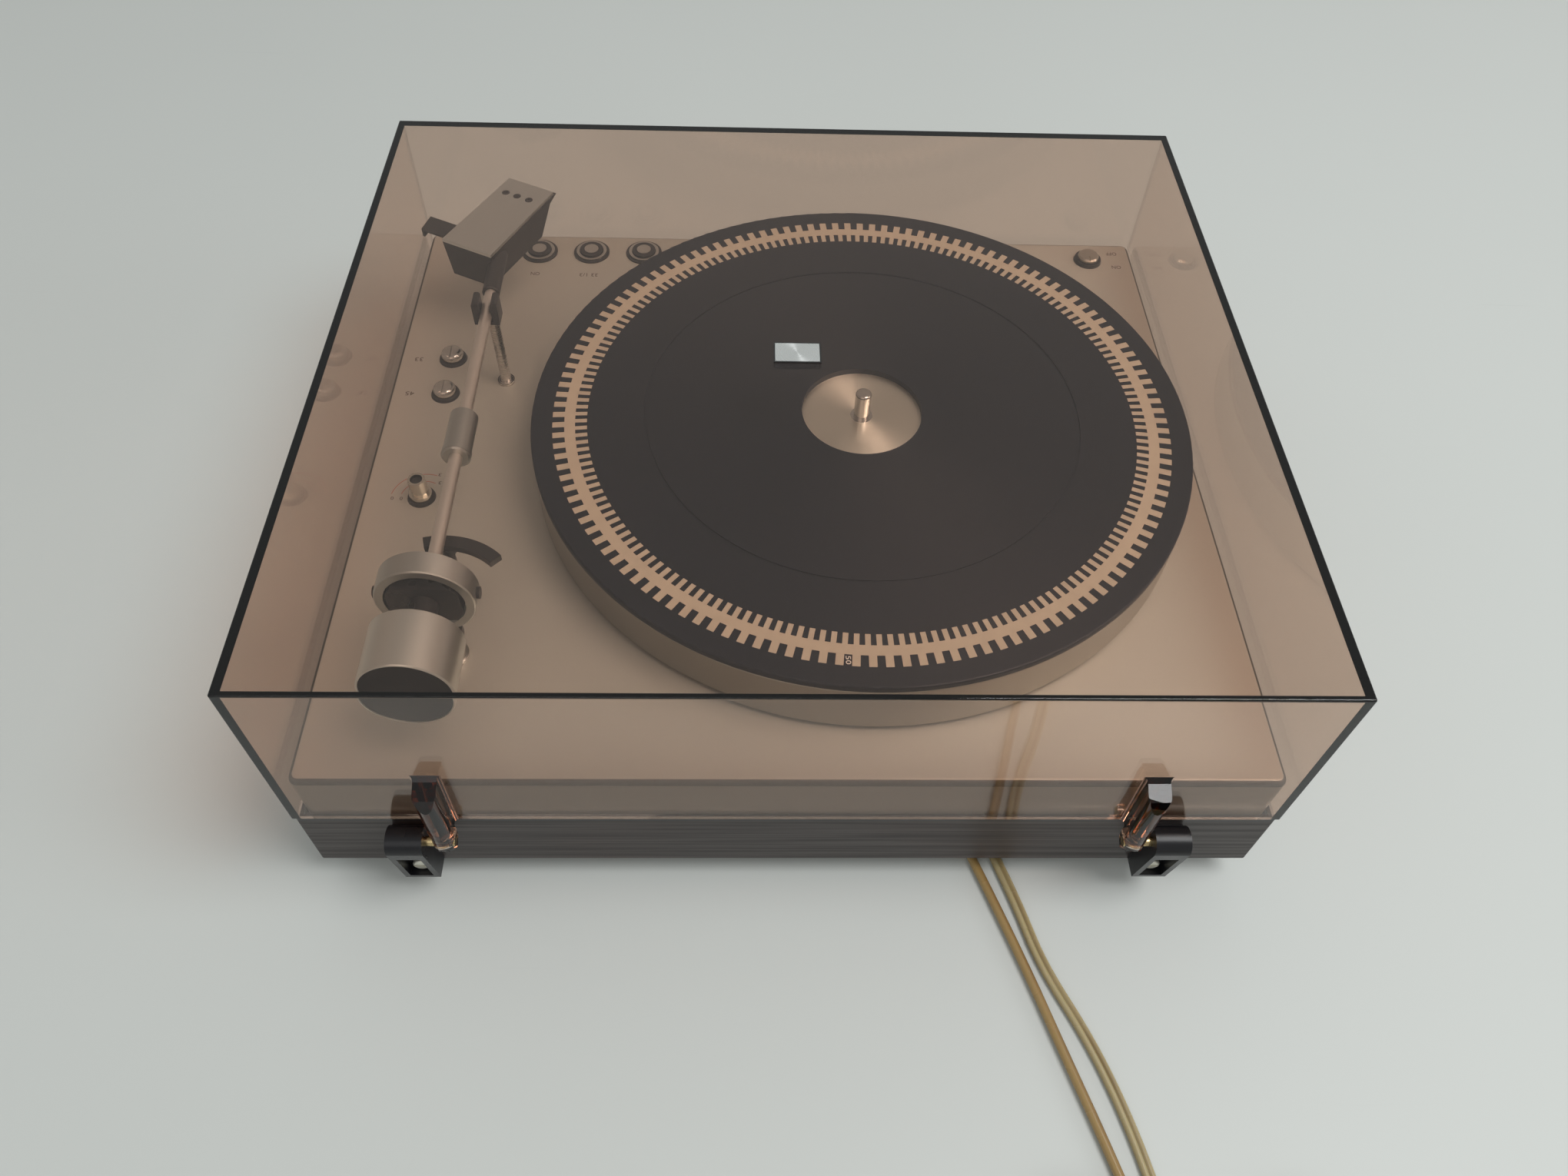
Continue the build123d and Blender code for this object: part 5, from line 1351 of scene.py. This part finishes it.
@dataclass
class Tonearm:
    """The arm on its pillar, its headshell, rest and lift."""

    arm_line: Point = (0.1383, 0.0, 0.1195)
    pivot: Point = (0.1383, 0.1036, 0.0)
    rest: Point = (0.1359, -0.0558, 0.0)
    shell_middle: tuple[float, float] = (0.1397, -0.118875)
    shell_turn: float = -26.0
    shell_top: float = 0.1270
    screw_forward: float = 0.017
    screw_sides: tuple[float, ...] = (0.0075, 0.001, -0.0058)
    screw_radius: float = 0.00185
    screw_height: float = 0.00055
    screw_bevel: float = 0.2
    screw_rim: float = 0.3
    screw_hollow: float = 0.6

    def plate_screws(self) -> None:
        """Make one dark socket screw, and copy it to its three places on the headshell's plate."""
        Bench.begin()
        bpy.ops.mesh.primitive_cylinder_add(vertices=32, radius=self.screw_radius, depth=self.screw_height)
        bpy.ops.object.mode_set(mode="EDIT")
        Bench.pick_faces(lambda middle, normal: normal.z > 0.9)
        bpy.ops.mesh.inset(thickness=self.screw_radius * self.screw_bevel)
        bpy.ops.transform.translate(value=(0, 0, self.screw_height * self.screw_bevel))
        bpy.ops.mesh.inset(thickness=self.screw_radius * self.screw_rim)
        Bench.pull(-self.screw_height * self.screw_hollow)
        bpy.ops.object.mode_set(mode="OBJECT")
        first = bpy.context.object
        turn = math.radians(self.shell_turn)
        height = self.shell_top - self.screw_height / 2
        finish = Moulded("screw_black", (0.03, 0.03, 0.031), roughness=0.35)
        for number, side in enumerate(self.screw_sides, start=1):
            Bench.begin(first)
            bpy.ops.object.duplicate()
            x = side * math.cos(turn) + self.screw_forward * math.sin(turn)
            y = side * math.sin(turn) - self.screw_forward * math.cos(turn)
            bpy.context.object.location = (self.shell_middle[0] + x, self.shell_middle[1] + y, height)
            Bench.keep(f"plate_screw_{number}", "arm", "black_plastic", finish)
        pattern = first.data
        bpy.data.objects.remove(first)
        bpy.data.meshes.remove(pattern)

    def build(self) -> None:
        """Dress the arm's nodes and put the plate's screws in."""
        self.plate_screws()
        satin = partial(Turned, centre=self.arm_line, axis=Axis.DEEP)
        dress(satin("arm_satin", (0.17, 0.19, 0.188), roughness=0.38, stretch=0.2), "arm_tube")
        dress(satin("gimbal_satin", (0.52, 0.55, 0.54), roughness=0.4), "gimbal_ring")
        fine = partial(satin, roughness=0.33, stretch=0.35, streak=0.03, depth=0.0000015)
        dress(fine("weight_satin", (0.7, 0.73, 0.71)), "counterweight")
        dress(satin("collar_satin", (0.48, 0.5, 0.49), roughness=0.33), "collar_weight")
        dress(Banded("pillar_satin", (0.5, 0.49, 0.46), centre=self.pivot), "arm_pillar")
        dress(Turned("shaft_steel", (0.5, 0.49, 0.46), centre=self.pivot), "yaw_shaft")
        plate = Brushed("headshell_plate_satin", (0.7, 0.73, 0.72), roughness=0.4, along=Axis.DEEP)
        dress(plate, "headshell_plate")
        black = Moulded("black_enamel", BLACK, roughness=0.3)
        dress(black, "bearing_block", "pivot_screws", "counterweight_stub", "lift_arc", "lift_bush")
        dress(Moulded("headshell_black", (0.022, 0.022, 0.023), roughness=0.5), "headshell_body")
        dress(Moulded("finger_lift_black", BLACK, roughness=0.4), "finger_lift")
        cap = Moulded("cap_black", (0.007, 0.007, 0.008), roughness=0.55, specular=0.2)
        dress(cap, "counterweight_cap")
        dress(Moulded("clip_black", BLACK, roughness=0.4), "rest_clip", "cartridge_body")
        dress(Turned("rest_steel", (0.6, 0.58, 0.55), centre=self.rest, roughness=0.25), "rest_post")
        dress(Turned("stylus_steel", (0.6, 0.6, 0.6), roughness=0.25), "stylus")


@dataclass
class Cover:
    """The clear cover with its badge and hinges."""

    badge: Point = (-0.00195, -0.006725, 0.0)

    def build(self) -> None:
        """Dress the cover's nodes."""
        dress(Acrylic("bronze_acrylic", (0.62, 0.31, 0.08)), "lid_cover")
        framed = partial(Framed, centre=self.badge, roughness=0.3, stretch=0.9, metallic=0.9)
        dress(framed("badge_spun", (0.88, 0.91, 0.9)), "lid_badge")
        dress(Moulded("hinge_black", (0.009, 0.009, 0.011), roughness=0.3, specular=0.35), "hinge_blocks")
        dress(Turned("pin_brass", (0.55, 0.42, 0.22), axis=Axis.ACROSS, roughness=0.25), "hinge_pins")
        screws = Brushed("screw_steel", (0.8, 0.78, 0.68), roughness=0.4, along=Axis.UP, metallic=0.6)
        dress(screws, "hinge_screws")


def main() -> None:
    """Build the studio and every sub-assembly."""
    logging.basicConfig(level=logging.INFO, format="%(message)s", stream=sys.stdout)
    assemblies = (Studio(), Leads(), Body(), Drive(), Platter(), Controls(), Tonearm(), Cover())
    for assembly in assemblies:
        assembly.build()
        log.info("%s done", type(assembly).__name__)
    bpy.context.view_layer.update()


if __name__ == "__main__":
    main()
